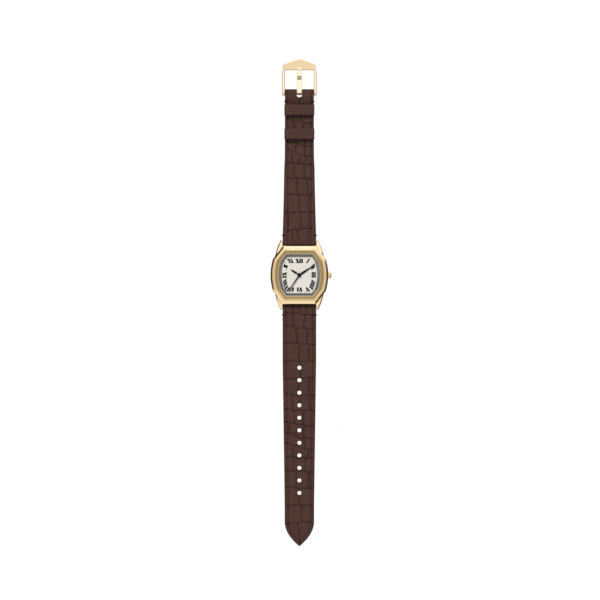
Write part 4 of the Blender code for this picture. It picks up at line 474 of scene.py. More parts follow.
def make_lug(side, end, floor):
    """One lug as a solid: flat inner face, softly rounded back, and a steep bevel down its outer edge."""
    rings = []
    for y, outer, top in LUG:
        low = max(floor, 1.4 - 2.2 * (LUG_END - y)) if y > 16.1 else floor + 0.05 * max(0.0, y - 14.1)
        deep = top - low
        drop = min(1.0, 0.8 * deep)
        profile = [(LUG_INNER, low + 0.1 * deep), (LUG_INNER, top - 0.12), (LUG_INNER + 0.04, top - 0.04),
                   (LUG_INNER + 0.12, top), (0.5 * (LUG_INNER + outer) - 0.2, top)]
        for back, share in LUG_BACK:
            profile.append((outer - back * min(1.0, 0.9 * (outer - LUG_INNER)), top - share * drop))
        profile += [(outer, low + 0.1 * deep), (outer - 0.1, low), (LUG_INNER + 0.12, low)]
        rings.append([(side * x, end * y, z) for x, z in profile])
    return solid("lug", rings)


def make_mid_case():
    """The CAD case body, with smoothly shaped lugs in place of its plain ones."""
    obj = bpy.data.objects.new("mid_case_lugs", frame["nodes"]["mid_case"].data.copy())
    bpy.context.scene.collection.objects.link(obj)
    # The solid's own normals would not fit the new faces
    if obj.data.has_custom_normals:
        obj.data.attributes.remove(obj.data.attributes["custom_normal"])
    clean(obj)
    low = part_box("mid_case")[0].z / MM
    chamfer, past, above = 0.35, 0.1, 9
    sections = [(inset(MID_CASE_RING, chamfer + past), low - past), (MID_CASE_RING, low + chamfer),
                (MID_CASE_RING, above)]
    carved(obj, solid("body", faceted_rings(sections)), "INTERSECT")
    for side in (-1, 1):
        for end in (-1, 1):
            carved(obj, make_lug(side, end, low + 0.02), "UNION")
    for end in (-1, 1):
        carved(obj, bar("spring_bar_holes", end * LUG_BAR_Y, LUG_BAR_Z, 0.42, LUG_INNER + 0.82))
    dress(clean(obj), polished_gold, "case", "gold", "mid_case", sharp=32)


def make_spring_halves():
    """The coiled spring in each lug bar, as two halves, so that each tip presses its own half shorter."""
    coil, thread = 0.38, 0.09

    def wire(tree, sizes):
        helix = add(tree, "GeometryNodeCurveSpiral", {
            "Resolution": 16, "Rotations": sizes["Turns"], "Start Radius": sizes["Coil radius"],
            "End Radius": sizes["Coil radius"], "Height": sizes["Length"]})
        return tube(tree, helix.outputs[0], sizes["Wire radius"], 8)

    for label, y in (("12", LUG_BAR_Y), ("6", -LUG_BAR_Y)):
        node = "lug_bar_spring_" + label
        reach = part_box(node)[1].x
        middle = Vector((0, y, LUG_BAR_Z)) * MM
        for side, way, turn in (("left", -1, math.pi), ("right", 1, 0.0)):
            half = new_object(node + "_" + side, [(0, 0, 0)], [])
            grown(half, node + "_" + side, brushed_steel,
                  {"Turns": 4.0, "Coil radius": coil * MM, "Wire radius": thread * MM,
                   "Length": reach - thread * MM}, wire)
            half.data.transform(Matrix.Translation(middle) @ Euler((0, math.pi / 2, turn)).to_matrix().to_4x4())
            dress(clean(half), None, None, "steel", node)
            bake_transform(half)


def make_crystal():
    """Flat-edged glass with a slight dome."""
    edge, rim, dome = inset(GLASS_RING, 0.32), 6.39, 0.12
    rings = faceted_rings([(edge, 5.64), (edge, 6.24), (inset(edge, 0.05), 6.34), (inset(edge, 0.15), rim)])
    top = rings[-1]
    for share in (0.9, 0.75, 0.55, 0.3, 0.1):
        height = rim + dome * (1 - share * share)
        rings.append([(x * share, y * share, height) for x, y, _ in top])
    dress(solid("crystal_glass", rings), clear_glass, "case", "crystal", "crystal")


def ray_hit(outline, direction):
    """Where a ray from the centre meets an outline, and the direction of the side that it meets."""
    ray = Vector(direction)
    for a, b in zip(outline, outline[1:] + outline[:1]):
        a, b = Vector(a), Vector(b)
        side = b - a
        cross = ray.x * side.y - ray.y * side.x
        if abs(cross) < 1e-9:
            continue
        share = (a.x * ray.y - a.y * ray.x) / cross
        reach = (a.x * side.y - a.y * side.x) / cross
        if reach > 0 and -1e-9 <= share <= 1 + 1e-9:
            return ray * reach, side.normalized()


def make_chapter_ring():
    """The grey slope between glass and dial, and its sixty pale minute marks."""
    outer, flat = inset(GLASS_RING, 0.02), inset(GLASS_RING, 0.25)
    base, slope_foot, slope_top, rim = 4.57, 4.69, 5.6, 5.62
    sections = [(outer, base), (outer, rim), (inset(GLASS_RING, 0.2), rim), (flat, slope_top)]
    sections += [(between(flat, DIAL_RING, share), slope_top + (slope_foot - slope_top) * share)
                 for share in (0.33, 0.66, 1)]
    sections += [(DIAL_RING, base)]
    ring = solid("chapter_slope", faceted_rings(sections), closed=True)
    dress(ring, chapter_paint, "case", "chapter", "chapter_ring", sharp=18)

    upper, lower = faceted_outline(flat), faceted_outline(DIAL_RING)
    places, turns = [], []
    for minute in range(60):
        angle = 2 * math.pi * minute / 60
        direction = (math.sin(angle), math.cos(angle))
        top, side = ray_hit(upper, direction)
        foot, _ = ray_hit(lower, direction)
        down = (Vector((*foot, slope_foot)) - Vector((*top, slope_top))).normalized()
        normal = Vector((*side, 0)).cross(down).normalized()
        places.append((*(top + foot) / 2, (slope_foot + slope_top) / 2))
        turns.append(Matrix((down.cross(normal), down, normal)).transposed().to_euler())
    marks = new_object("minute_marks", places, [])
    turn = marks.data.attributes.new("turn", "FLOAT_VECTOR", "POINT")
    turn.data.foreach_set("vector", np.array([tuple(t) for t in turns], np.float32).ravel())

    def wire(tree, sizes):
        size = add(tree, "ShaderNodeCombineXYZ", {"X": sizes["Mark width"], "Y": sizes["Mark length"],
                                                  "Z": sizes["Mark height"]}).outputs[0]
        mark = add(tree, "GeometryNodeMeshCube", {"Size": size, "Vertices X": 2, "Vertices Y": 3, "Vertices Z": 2})
        turned = add(tree, "GeometryNodeInputNamedAttribute", {"Name": "turn"}, data_type="FLOAT_VECTOR")
        return add(tree, "GeometryNodeInstanceOnPoints", {"Points": sizes["Geometry"], "Instance": mark.outputs["Mesh"],
                                                          "Rotation": turned.outputs["Attribute"]}).outputs[0]

    grown(marks, "minute_mark_track", mark_print,
          {"Mark width": 0.38 * MM, "Mark length": 0.85 * MM, "Mark height": 0.05 * MM}, wire)
    dress(marks, None, "case", "dial")


# Numerals: strokes in letter heights, (x0, y0, x1, y1, width of the stroke across)
THICK, THIN, SERIF, SERIF_REACH = 0.38, 0.14, 0.1, 0.23
STROKES = {
    "I": (0.46, [(0, 0, 0, 1, THICK)], [(0, 0), (0, 1)]),
    "V": (0.76, [(-0.26, 1, 0.02, 0, THICK * 1.1), (0.27, 1, 0.02, 0, THIN * 1.2)], [(-0.26, 1), (0.27, 1)]),
    "X": (0.82, [(-0.26, 1, 0.26, 0, THICK * 1.15), (0.27, 1, -0.27, 0, THIN * 1.2)],
          [(-0.26, 1), (0.27, 1), (-0.27, 0), (0.26, 0)]),
}
# Each numeral: its middle, the direction it is read in, and the slanted direction of its uprights
NUMERALS = (("XII", (0, 6.66), (1, 0), (0, 1)), ("I", (4.14, 6.68), (1, 0), (0.68, 1)),
            ("II", (6.53, 3.95), (0.06, -1.14), (0.86, 0.67)), ("III", (6.8, 0.06), (0, -1), (1, 0)),
            ("IIII", (6.1, -4.68), (-0.35, -1.06), (0.8, -0.73)), ("V", (3.8, -6.88), (-1.1, 0), (0.42, -1)),
            ("VI", (0.03, -6.92), (-1.03, 0), (0, -1)), ("VII", (-4.2, -6.9), (-1, 0), (-0.5, -1)),
            ("VIII", (-6.62, -4.55), (-0.22, 1.05), (-0.78, -0.76)), ("IX", (-7.05, -0.05), (0, 1.08), (-1.02, 0)),
            ("X", (-6.53, 4.1), (0.4, 1.22), (-0.75, 0.86)), ("XI", (-4.3, 6.68), (1, 0), (-0.52, 1)))
NUMERAL_HEIGHT = 2.0
INK_HEIGHT = 0.02


def make_numerals():
    """Roman hours with their tops outwards, along the edges of the dial, as thin raised print."""
    points, faces = [], []

    def prism(corners, place):
        first, count = len(points), len(corners)
        for height in (DIAL_TOP - 0.01, DIAL_TOP + INK_HEIGHT):
            points.extend((*place(x, y), height) for x, y in corners)
        faces.append(tuple(range(first, first + count)))
        faces.append(tuple(range(first + count, first + 2 * count)))
        for i in range(count):
            j = (i + 1) % count
            faces.append((first + i, first + j, first + count + j, first + count + i))

    for word, centre, reading, upright in NUMERALS:
        centre, reading, upright = Vector(centre), Vector(reading), Vector(upright)
        cursor = -sum(STROKES[letter][0] for letter in word) / 2
        for letter in word:
            advance, strokes, feet = STROKES[letter]
            middle = cursor + advance / 2
            cursor += advance

            def place(u, v):
                return centre + ((middle + u) * reading + (v - 0.5) * upright) * NUMERAL_HEIGHT

            for x0, y0, x1, y1, width in strokes:
                half = width / 2
                prism([(x0 - half, y0), (x0 + half, y0), (x1 + half, y1), (x1 - half, y1)], place)
            for u, v in feet:
                low, high = (v - SERIF, v) if v else (0, SERIF)
                left, right = u - SERIF_REACH, u + SERIF_REACH
                prism([(left, low), (right, low), (right, high), (left, high)], place)
    obj = clean(new_object("hour_numerals", points, faces))

    def wire(tree, sizes):
        return add(tree, "GeometryNodeMeshBoolean", {"Mesh 2": sizes["Geometry"], "Self Intersection": True},
                   operation="UNION", solver="EXACT").outputs["Mesh"]

    grown(obj, "numeral_print", numeral_ink, {}, wire)
    dress(obj, None, "case", "hands")


# Hands: node, body, angle clockwise, length, and half widths along the blade at shares of that length
HANDS = (("hour_hand", "hour", 302.0, 4.9, ((0.0, 0.24), (0.22, 0.25), (0.33, 0.38), (0.43, 0.48), (0.53, 0.5),
                                           (0.65, 0.44), (0.78, 0.33), (0.9, 0.25), (1.0, 0.1))),
         ("minute_hand", "minute", 56.4, 8.9, ((0.0, 0.24), (0.1, 0.34), (0.15, 0.47), (0.22, 0.52), (0.34, 0.45),
                                               (0.45, 0.38), (0.56, 0.31), (0.68, 0.27), (0.96, 0.18), (1.0, 0.1))),
         ("second_hand", "second", 214.1, 7.5, ((0.0, 0.3), (0.3, 0.29), (0.7, 0.22), (0.97, 0.18), (1.0, 0.12))))
HUB_RADIUS = 0.95


def make_hand(node, body, clockwise, length, widths):
    """A blade with a low ridge down its middle, and a round hub with a turned edge."""
    low, high = (corner.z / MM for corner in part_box(node))
    turn = Matrix.Rotation(-math.radians(clockwise), 3, "Z")
    rim = low + 0.6 * (high - low)
    points, faces = loft([[(-half, share * length, low), (-half, share * length, rim), (0, share * length, high),
                           (half, share * length, rim), (half, share * length, low)] for share, half in widths])
    profile = ((HUB_RADIUS - 0.03, low), (HUB_RADIUS, low + 0.02), (HUB_RADIUS, high - 0.04),
               (HUB_RADIUS - 0.05, high), (0.42, high), (0.36, high - 0.03), (0.2, high - 0.03))
    hub, sides = loft([[(r * math.cos(a), r * math.sin(a), z) for a in round_angles(48)] for r, z in profile])
    faces += [tuple(len(points) + i for i in face) for face in sides]
    obj = clean(new_object(node + "_blade", [turn @ Vector(point) for point in points + hub], faces))
    dress(obj, hand_lacquer, body, "hands", node)


def make_crown():
    """A domed knob with rounded flutes, hollow where it goes over its tube and stem."""
    radius, length, outer, segments = 1.67, 1.65, 15.3, 160
    recess, bore = 1.1, 0.37
    profile = [(0.0, 0.02)]
    for i in range(1, 9):
        angle = 0.5 * math.pi * i / 8
        profile.append((0.93 * math.sin(angle), 0.02 + 0.5 * (1 - math.cos(angle))))
    profile += [(0.975, 0.57), (1.0, 0.63), (1.0, 0.88), (0.96, 0.94), (0.88, 0.99)]
    rows = [(share * radius, outer - back * length) for share, back in profile]
    rows += [(recess + 0.05, 13.67), (recess, 13.72), (recess, 14.15), (bore, 14.15), (bore, 14.68), (0.0, 14.68)]
    rings = [[(x, across * math.cos(a), STEM_HEIGHT + across * math.sin(a)) for a in round_angles(segments)]
             for across, x in rows]
    obj = solid("crown_knob", rings, capped=False)

    def wire(tree, sizes):
        arm = vector(tree, "SUBTRACT", add(tree, "GeometryNodeInputPosition").outputs[0], (0, 0, STEM_HEIGHT * MM))
        flat = vector(tree, "MULTIPLY", arm, (0, 1, 1))
        parts = add(tree, "ShaderNodeSeparateXYZ", {"Vector": flat}).outputs
        angle = number(tree, "ARCTAN2", parts["Z"], parts["Y"])
        wave = number(tree, "COSINE", number(tree, "MULTIPLY", angle, sizes["Flute count"]))
        valley = spread(tree, wave, 1.0, 0.0, -1.0, 0.7)
        rim = spread(tree, vector(tree, "LENGTH", flat), 0.0, 1.0, sizes["Flute start"], sizes["Flute full"])
        sunk = number(tree, "MULTIPLY", number(tree, "MULTIPLY", valley, rim), sizes["Flute depth"])
        move = vector(tree, "SCALE", vector(tree, "NORMALIZE", flat), scale=number(tree, "MULTIPLY", sunk, -1.0))
        return add(tree, "GeometryNodeSetPosition", {"Geometry": sizes["Geometry"], "Offset": move}).outputs[0]

    grown(obj, "crown_flutes", polished_gold, {"Flute count": 20, "Flute depth": 0.15 * MM,
                                               "Flute start": 1.3 * MM, "Flute full": 1.6 * MM}, wire)
    dress(obj, None, "crown", "gold", "crown", sharp=40)


# Strap

# Distances from the spring bar: the buckle pin, the pointed end, the start of the point and the lining's edge
BUCKLE_END, HOLE_END, TIP_START, SEAM = 71.9, 114.3, 102.6, 2.6
# Length, half width and height of the pointed end
TIP_LENGTH, TIP_HALF, TIP_TOP = 11.7, 7.0, 1.9
# Height of the underside near the buckle, and thickness of the lining
BUCKLE_FLOOR, LINING = 0.57, 0.8
HOLES = [-44.15 - 5.97 * i for i in range(11)]
HOLE_RADIUS = 0.97
# Mesh of the top leather and of the lining: step along the strap and points across it
GRID, COLUMNS = 0.28, 60
LINING_GRID, LINING_COLUMNS = 0.6, 24
FAR = 1e3

# Creases of the scale pattern, each a line with the X and Y of its points in turn; the upper strap first
UPPER_CREASES = (
    (0, 84.4, 0, 81.8), (-4.9, 82.9, -1.9, 81.2, 5.9, 81.3), (-3.2, 76, -3.2, 73.2), (0.94, 76, 0.94, 73.2),
    (-5.5, 74.5, -3.8, 73.2, 1.9, 73.0), (2.1, 72.2, 5.8, 72.2), (-2.35, 73, -2.35, 69.8), (1.8, 72.8, 1.8, 69.8),
    (-1.7, 64.6, -1.7, 62.6), (2.9, 64.6, 2.9, 61.6), (-6, 64.0, -1.7, 62.6, 2.4, 61.5, 6, 61.2),
    (-1.7, 62.6, -1.7, 58.4), (2.5, 61.5, 2.5, 56.4), (-5.8, 59.6, -2.8, 58.8), (-1.7, 58.4, 0.2, 56.9, 2.1, 56.9),
    (2.9, 56.4, 6, 56.4), (-3.3, 58.9, -3.3, 53.5), (0, 56.9, 0, 53.3), (3.8, 55.5, 3.2, 54.5),
    (-5.8, 53.4, -1, 53.2, 2.5, 52.6, 5.9, 52.7), (-2.56, 52.9, -2.56, 46.2), (2.4, 52.5, 2.4, 46.2),
    (-5.6, 46.2, 2.4, 45.9, 5.6, 45.4), (-1.07, 46, -1.07, 38.5), (3.8, 45.3, 3.8, 38.7),
    (-5.6, 38.4, -0.6, 38.2, 5.8, 37.9), (-0.33, 38.1, -0.33, 30), (4.56, 37.8, 4.3, 34, 4.56, 30),
    (-7, 29.8, 6.5, 29.8), (-5.1, 29, -5.1, 23), (0.5, 29.4, 0.5, 22), (4.7, 29, 4.7, 22.5),
    (-6, 21.1, -0.6, 21.8, 5.8, 22.2), (-0.9, 21.4, 0.1, 16), (4.3, 21.4, 4.3, 15.5), (-3.6, 21.0, -3.3, 15.5),
)
LOWER_CREASES = (
    (-3.2, -14.5, -3.2, -17.8), (0, -14.5, 0, -18.2), (3.3, -14.5, 3.3, -18.8),
    (-7.6, -17.6, -4.9, -18.1, -1.5, -18.3, 2.3, -18.8, 7.8, -19.2), (-2.8, -18.3, -2.8, -24.9),
    (2.3, -18.9, 2.3, -25.4), (-7.2, -24.2, -3.6, -24.6, -1.7, -25.2, 1.9, -25.4, 7.2, -25.5),
    (-1.5, -25.3, -1.1, -29, -1.3, -32.4), (3.7, -25.5, 3.7, -32.9),
    (-7.2, -32.5, -3.6, -32.3, -0.7, -32.6, 1.7, -32.9, 7.2, -33.2), (0, -32.8, 0, -37, -0.4, -41.0),
    (4.5, -33.2, 4.6, -41.0), (-7.7, -41.2, -3.6, -40.8, -1.5, -41.1, 1.7, -41.2, 7.2, -41.3),
    (0.4, -41.2, 0.4, -43.2), (0.4, -45.2, 0.4, -49.2),
    (-7.2, -49.6, -4.7, -49.6, -1.5, -49.4, 1.7, -49.3, 7.4, -48.7), (-0.4, -51, -0.6, -55), (4.5, -49.2, 4.6, -57.2),
    (-7.4, -56.4, -5.3, -56.6, -3.8, -57.0, -1.9, -57.5, 1.7, -57.3, 7.4, -57.4), (-3.7, -57.1, -3.2, -64.2),
    (0.2, -57.4, 0.6, -61), (4.5, -57.4, 5.1, -64.4), (-7.2, -63.7, -4.5, -64.0, -3.0, -64.5, 1.7, -64.5, 7.2, -64.5),
    (-2.5, -64.5, -2.4, -70.6), (1.9, -64.6, 1.9, -71.5),
    (-7.2, -69.7, -5.7, -70.2, -2.4, -70.7, -0.7, -71.2, 1.9, -71.5, 4.0, -72.1, 7.2, -72.2),
    (-4.8, -70.4, -5.0, -75.3), (2.2, -71.7, 1.9, -77.7),
    (-7.0, -75.4, -4.9, -75.4, -2.4, -75.8, -1.5, -76.8, 0, -77.5, 2.1, -77.8, 7.2, -77.9), (2.4, -77.9, 2.5, -82.9),
    (-7, -79.7, -5.7, -80.2, -3.6, -81.1, -1.7, -81.1, -0.6, -82.0, 0.6, -82.5, 2.3, -82.9, 7, -83.2),
    (-3.2, -81.2, -3.2, -86.5), (4.0, -83.1, 4.0, -87.2),
    (-6.8, -86.3, -2.8, -86.5, -1.1, -87.4, 2.1, -87.1, 6.8, -87.3), (-2.8, -86.6, -2.8, -93.3),
    (2.7, -87.1, 2.9, -93.5), (-6.8, -93.3, -5.3, -93.2, -1.7, -93.5, 1.9, -93.3, 3.4, -93.9, 6.8, -93.9),
    (-1.5, -93.5, -1.5, -101.3), (4.3, -93.9, 4.4, -101.6),
    (-6.8, -101.1, -2.8, -101.1, -1.1, -101.6, 1.9, -101.6, 6.8, -101.6), (-0.1, -104.8, -0.1, -109.6),
    (-6.4, -109.7, 6.6, -109.7), (0.95, -109.8, 1.0, -117.6), (-5.7, -118.5, -2.6, -118.3, 1.05, -117.6, 5.7, -117.9),
    (-0.6, -118.4, 0, -125.4), (0.1, -125.6, 0.1, -128),
)


def along(stations, distance):
    """Value at a distance along pairs of distance and value, straight between them."""
    return np.interp(distance, [d for d, _ in stations], [v for _, v in stations])


def bell(distance, width):
    """One on a line, fading to nothing beside it."""
    return np.exp(-(distance / width) ** 2)


def line_distance(x, y, lines):
    """Distance of each point from the nearest of the lines."""
    nearest = np.full(x.shape, FAR)
    for line in lines:
        for ax, ay, bx, by in zip(line[::2], line[1::2], line[2::2], line[3::2]):
            dx, dy = bx - ax, by - ay
            share = np.clip(((x - ax) * dx + (y - ay) * dy) / (dx * dx + dy * dy), 0, 1)
            nearest = np.minimum(nearest, np.hypot(x - ax - share * dx, y - ay - share * dy))
    return nearest


class Strap:
    """Plan, heights and surface pattern of one strap half, along its distance from the spring bar."""

    def __init__(self, sign, plan, tops, floors, creases, border):
        self.sign, self.plan, self.tops, self.floors = sign, plan, tops, floors
        self.creases, self.border = creases, border

    def half(self, d):
        """Half of the width."""
        return along(self.plan, d)

    def top(self, d):
        """Height of the upper face."""
        return float(along(self.tops, d))

    def floor(self, d):
        """Height of the underside."""
        return float(along(self.floors, d))

    def edge_distance(self, x, d):
        """Distance inwards from the cut edge, measured square to it."""
        slope = (self.half(d + 0.2) - self.half(d - 0.2)) / 0.4
        return (self.half(d) - np.abs(x)) / np.hypot(1, slope)

    def groove(self, x, d):
        """Distance from the line pressed along the border: from the edge if negative, otherwise from the middle."""
        if self.border < 0:
            return np.abs(self.edge_distance(x, d) + self.border)
        return np.abs(np.abs(x) - self.border)

    def pressed(self, x, d):
        """How deep the surface lies below the flat top, and how dark it is painted at each point: painted shade in
        creases and grooves, painted shadow at the ends, dark dye on cut edges.
        """
        y = self.sign * (LUG_BAR_Y + d)
        x = x * self.sign
        bent_x = x + 0.16 * np.sin(1.1 * y + 0.9 * x) + 0.09 * np.sin(2.9 * y + 1.3)
        bent_y = y + 0.14 * np.sin(1.3 * x + 0.4 * y) + 0.08 * np.sin(3.1 * x + 0.5)
        crease = line_distance(bent_x, bent_y, self.creases)
        strength = 0.82 + 0.18 * np.sin(0.7 * x + 0.45 * y) * np.sin(0.31 * y - 0.8 * x)
        groove = self.groove(x, d)
        edge = np.maximum(self.edge_distance(x, d), 0)
        hole = np.full(x.shape, FAR)
        if self.sign < 0:
            for at in HOLES:
                hole = np.minimum(hole, np.abs(np.hypot(x, y - at) - HOLE_RADIUS))
        rounding, slope = 0.35, 1.7
        depth = strength * (0.16 * bell(crease, 0.3) + 0.12 * np.exp(-crease / 0.8))
        depth += 0.14 * bell(groove, 0.3) + 0.12 * bell(hole, 0.3) + 0.2 * np.clip(1 - edge / slope, 0, 1) ** 2
        depth += np.where(edge < rounding, rounding - np.sqrt(np.maximum(0, rounding ** 2 - (rounding - edge) ** 2)), 0)
        # Painted shade in the creases and in the border groove
        dark = 0.85 * strength * bell(crease, 0.32) + 0.5 * bell(groove, 0.35)
        # Dark dye on the cut edges, darker round the holes, and a painted shadow where the strap meets the case
        for dye_and_shade in (0.9 * bell(edge, 0.45), 0.7 * bell(hole, 0.35), 0.85 * bell(d + 1.3, 0.8)):
            dark = np.maximum(dark, dye_and_shade)
        if self.sign > 0:
            # The fold round the pin is flat, with a painted shadow at its end
            depth = depth * np.clip((BUCKLE_END + 0.5 - d) / 1.2, 0, 1)
            dark = np.maximum(dark, 0.8 * bell(d - BUCKLE_END - 1.5, 0.5))
        return depth, np.clip(dark, 0, 1)

    def shell(self, name, stations, columns, pattern):
        """A closed skin over stations of distance, top and bottom heights."""
        share = np.sin(np.linspace(-0.5, 0.5, columns) * math.pi * 0.86) / math.sin(0.43 * math.pi)
        rings = []
        for d, top, bottom in stations:
            x = share * float(self.half(d))
            depth = self.pressed(x, np.full(x.shape, d))[0] if pattern else 0 * x
            limit = max(0.0, top - bottom)
            upper = np.maximum(top - depth * min(1.0, limit / 1.5), bottom if limit < 0.02 else bottom + 0.02)
            y = LUG_BAR_Y + d
            ring = [(self.sign * a, self.sign * y, z) for a, z in zip(x, upper)]
            ring += [(self.sign * a, self.sign * y, bottom) for a in x[::-1]]
            rings.append(ring)
        return solid(name, rings)

    def paint(self, obj, embossed):
        """Stores how dark each point is, after every cut has been made; a plain piece is dark along its edges alone."""
        co = np.empty(len(obj.data.vertices) * 3)
        obj.data.vertices.foreach_get("co", co)
        x, y, _ = (co.reshape(-1, 3) / MM).T
        d = self.sign * y - LUG_BAR_Y
        edge = np.maximum(self.edge_distance(x, d), 0)
        set_points(obj, "crease", self.pressed(self.sign * x, d)[1] if embossed else 0.7 * bell(edge, 0.4))


def loop_stations(centre, axis, radius, reach):
    """Stations round the folded end of a strap, from its outermost line at middle height back to the fold's start."""
    rows = []
    for i in range(9):
        angle = 0.5 * math.pi * i / 8
        rows.append((centre + reach * math.cos(angle), axis + radius * math.sin(angle),
                     axis - radius * math.sin(angle)))
    return rows


def bar(name, y, z, radius, half=12.0):
    """A round cutter along X."""
    rings = [[(x, y + radius * math.cos(a), z + radius * math.sin(a)) for a in round_angles(32)] for x in (-half, half)]
    return solid(name, rings)


def perforate(obj, finish):
    """Punches the row of buckle holes."""
    def wire(tree, sizes):
        start, step = (add(tree, "ShaderNodeCombineXYZ", {"Y": sizes[label]}).outputs[0]
                       for label in ("First hole", "Hole pitch"))
        row = add(tree, "GeometryNodeMeshLine", {"Count": sizes["Hole count"], "Start Location": start, "Offset": step})
        punch = add(tree, "GeometryNodeMeshCylinder", {"Vertices": 36, "Radius": sizes["Hole radius"],
                                                       "Depth": sizes["Punch length"]})
        punches = add(tree, "GeometryNodeInstanceOnPoints", {"Points": row.outputs[0],
                                                             "Instance": punch.outputs["Mesh"]})
        solid = add(tree, "GeometryNodeRealizeInstances", {"Geometry": punches.outputs[0]})
        cut = add(tree, "GeometryNodeMeshBoolean", {"Mesh 1": sizes["Geometry"], "Mesh 2": solid.outputs[0]},
                  operation="DIFFERENCE", solver="EXACT")
        return cut.outputs["Mesh"]

    return grown(obj, obj.name + "_holes", finish,
                 {"First hole": HOLES[0] * MM, "Hole pitch": (HOLES[1] - HOLES[0]) * MM, "Hole count": len(HOLES),
                  "Hole radius": HOLE_RADIUS * MM, "Punch length": 12.0 * MM}, wire)


def tip_plan():
    """Half widths along the pointed end."""
    shares = [math.sin(0.5 * math.pi * i / 40) for i in range(41)]
    return [(TIP_START + TIP_LENGTH * share, TIP_HALF * (1 - share ** 2)) for share in shares]


buckle_half = Strap(1, [(-4, 7.98), (3, 7.98), (20, 7.5), (36, 7.2), (41.3, 6.95), (50, 6.92), (80, 6.88)],
                    [(0, 3.2), (4, 3.3), (20, 2.7), (28, 2.5), (40, 2.67), (66.4, 2.67), (69.9, 3.57), (71.9, 3.57)],
                    [(0, 0), (28, 0), (40, BUCKLE_FLOOR), (80, BUCKLE_FLOOR)], UPPER_CREASES, 5.6)
hole_half = Strap(-1, [(-4, 7.98), (26, 7.98), (95, 7.0), *tip_plan()],
                  [(0, 3.2), (4, 3.3), (20, 2.7), (45, 2.0), (120, TIP_TOP)], [(0, 0), (120, 0)],
                  LOWER_CREASES, -1.68)


def slot_cutter():
    """The tongue's slot: open at the strap's end, round at its foot, bevelled on top to let the tongue fold back."""
    foot, past = 85.45, 92
    rings = []
    for half, deep, power, heights in ((1.2, 0.75, 1.0, (-3, 2.6)), (1.36, 1.2, 0.8, (3.75, 9))):
        arch = [(half, past), (-half, past)]
        for a in np.linspace(math.pi, 2 * math.pi, 17):
            arch.append((half * math.copysign(abs(math.cos(a)) ** power, math.cos(a)),
                         foot - deep * abs(math.sin(a)) ** power))
        rings += [[(x, y, z) for x, y in arch] for z in heights]
    return solid("slot", rings)


def make_straps():
    """Top leather, wrapped round the bars at the strap's ends, and the lining between the wraps."""
    gap = 0.02
    split = LINING + gap
    for strap, label, last in ((buckle_half, "buckle_strap", BUCKLE_END - SEAM), (hole_half, "hole_strap", HOLE_END)):
        stations = loop_stations(0, LUG_BAR_Z, 1.6, -1.6)
        for d in np.arange(GRID, last, GRID):
            if d - GRID < SEAM <= d:
                stations += [(SEAM, strap.top(SEAM), 0.0), (SEAM, strap.top(SEAM), split)]
            stations.append((float(d), strap.top(d), strap.floor(d) if d < SEAM else strap.floor(d) + split))
        if strap is buckle_half:
            stations += [(last, strap.top(last), BUCKLE_FLOOR + split), (last, strap.top(last), BUCKLE_FLOOR)]
            stations += [(float(d), strap.top(d), BUCKLE_FLOOR) for d in np.arange(last + GRID, BUCKLE_END, GRID)]
            stations += reversed(loop_stations(BUCKLE_END, PIN_Z, 1.5, 1.62))
        else:
            stations.append((last, TIP_TOP, split))
        top = strap.shell(label + "_leather", stations, COLUMNS, True)
        carved(top, bar("bore", strap.sign * LUG_BAR_Y, LUG_BAR_Z, 0.8))

        start, stop = SEAM + gap, last - gap if strap is buckle_half else last
        rows = [(float(d), strap.floor(d) + LINING, strap.floor(d))
                for d in np.linspace(start, stop, int((stop - start) / LINING_GRID))]
        lining = strap.shell(label + "_backing", rows, LINING_COLUMNS, False)
        if strap is buckle_half:
            carved(top, bar("pin_bore", PIN_Y, PIN_Z, 0.75))
            carved(top, slot_cutter())
        else:
            perforate(top, strap_leather)
            perforate(lining, lining_leather)
        for obj, finish, slot, node in ((top, strap_leather, "leather", "_top"),
                                        (lining, lining_leather, "lining", "_lining")):
            strap.paint(obj, obj is top)
            dress(obj, finish, label, slot, label + node, sharp=50)


def make_tacks():
    """Stitches that wrap round the strap edges beside the loops."""
    for strap, label, spots in ((buckle_half, "buckle_strap", (67.6, 3.9)), (hole_half, "hole_strap", (4.0,))):
        points, edges = [], []
        for d in spots:
            half, top, floor = float(strap.half(d)), strap.top(d), strap.floor(d)
            y = strap.sign * (LUG_BAR_Y + d)
            for side in (-1, 1):
                route = [(half - 1.4, top - 0.6), (half - 1.25, top - 0.02), (half - 0.7, top - 0.06),
                         (half - 0.15, top - 0.3), (half + 0.16, top - 0.7), (half + 0.2, (top + floor) / 2),
                         (half + 0.16, floor + 0.5), (half - 0.2, floor + 0.3)]
                first = len(points)
                points += [(side * x, y, z) for x, z in route]
                edges += [(first + i, first + i + 1) for i in range(len(route) - 1)]
        obj = new_object(label + "_tacks", points, [], edges)

        def wire(tree, sizes):
            path = add(tree, "GeometryNodeMeshToCurve", {"Mesh": sizes["Geometry"]})
            smooth = add(tree, "GeometryNodeCurveSplineType", {"Curve": path.outputs[0]}, spline_type="CATMULL_ROM")
            fine = add(tree, "GeometryNodeResampleCurve", {"Curve": smooth.outputs[0], "Count": sizes["Steps"]})
            return tube(tree, fine.outputs[0], sizes["Thread radius"], 12)

        grown(obj, label + "_thread", waxed_thread, {"Steps": 24, "Thread radius": 0.28 * MM}, wire)
        dress(clean(obj), None, label, "leather")


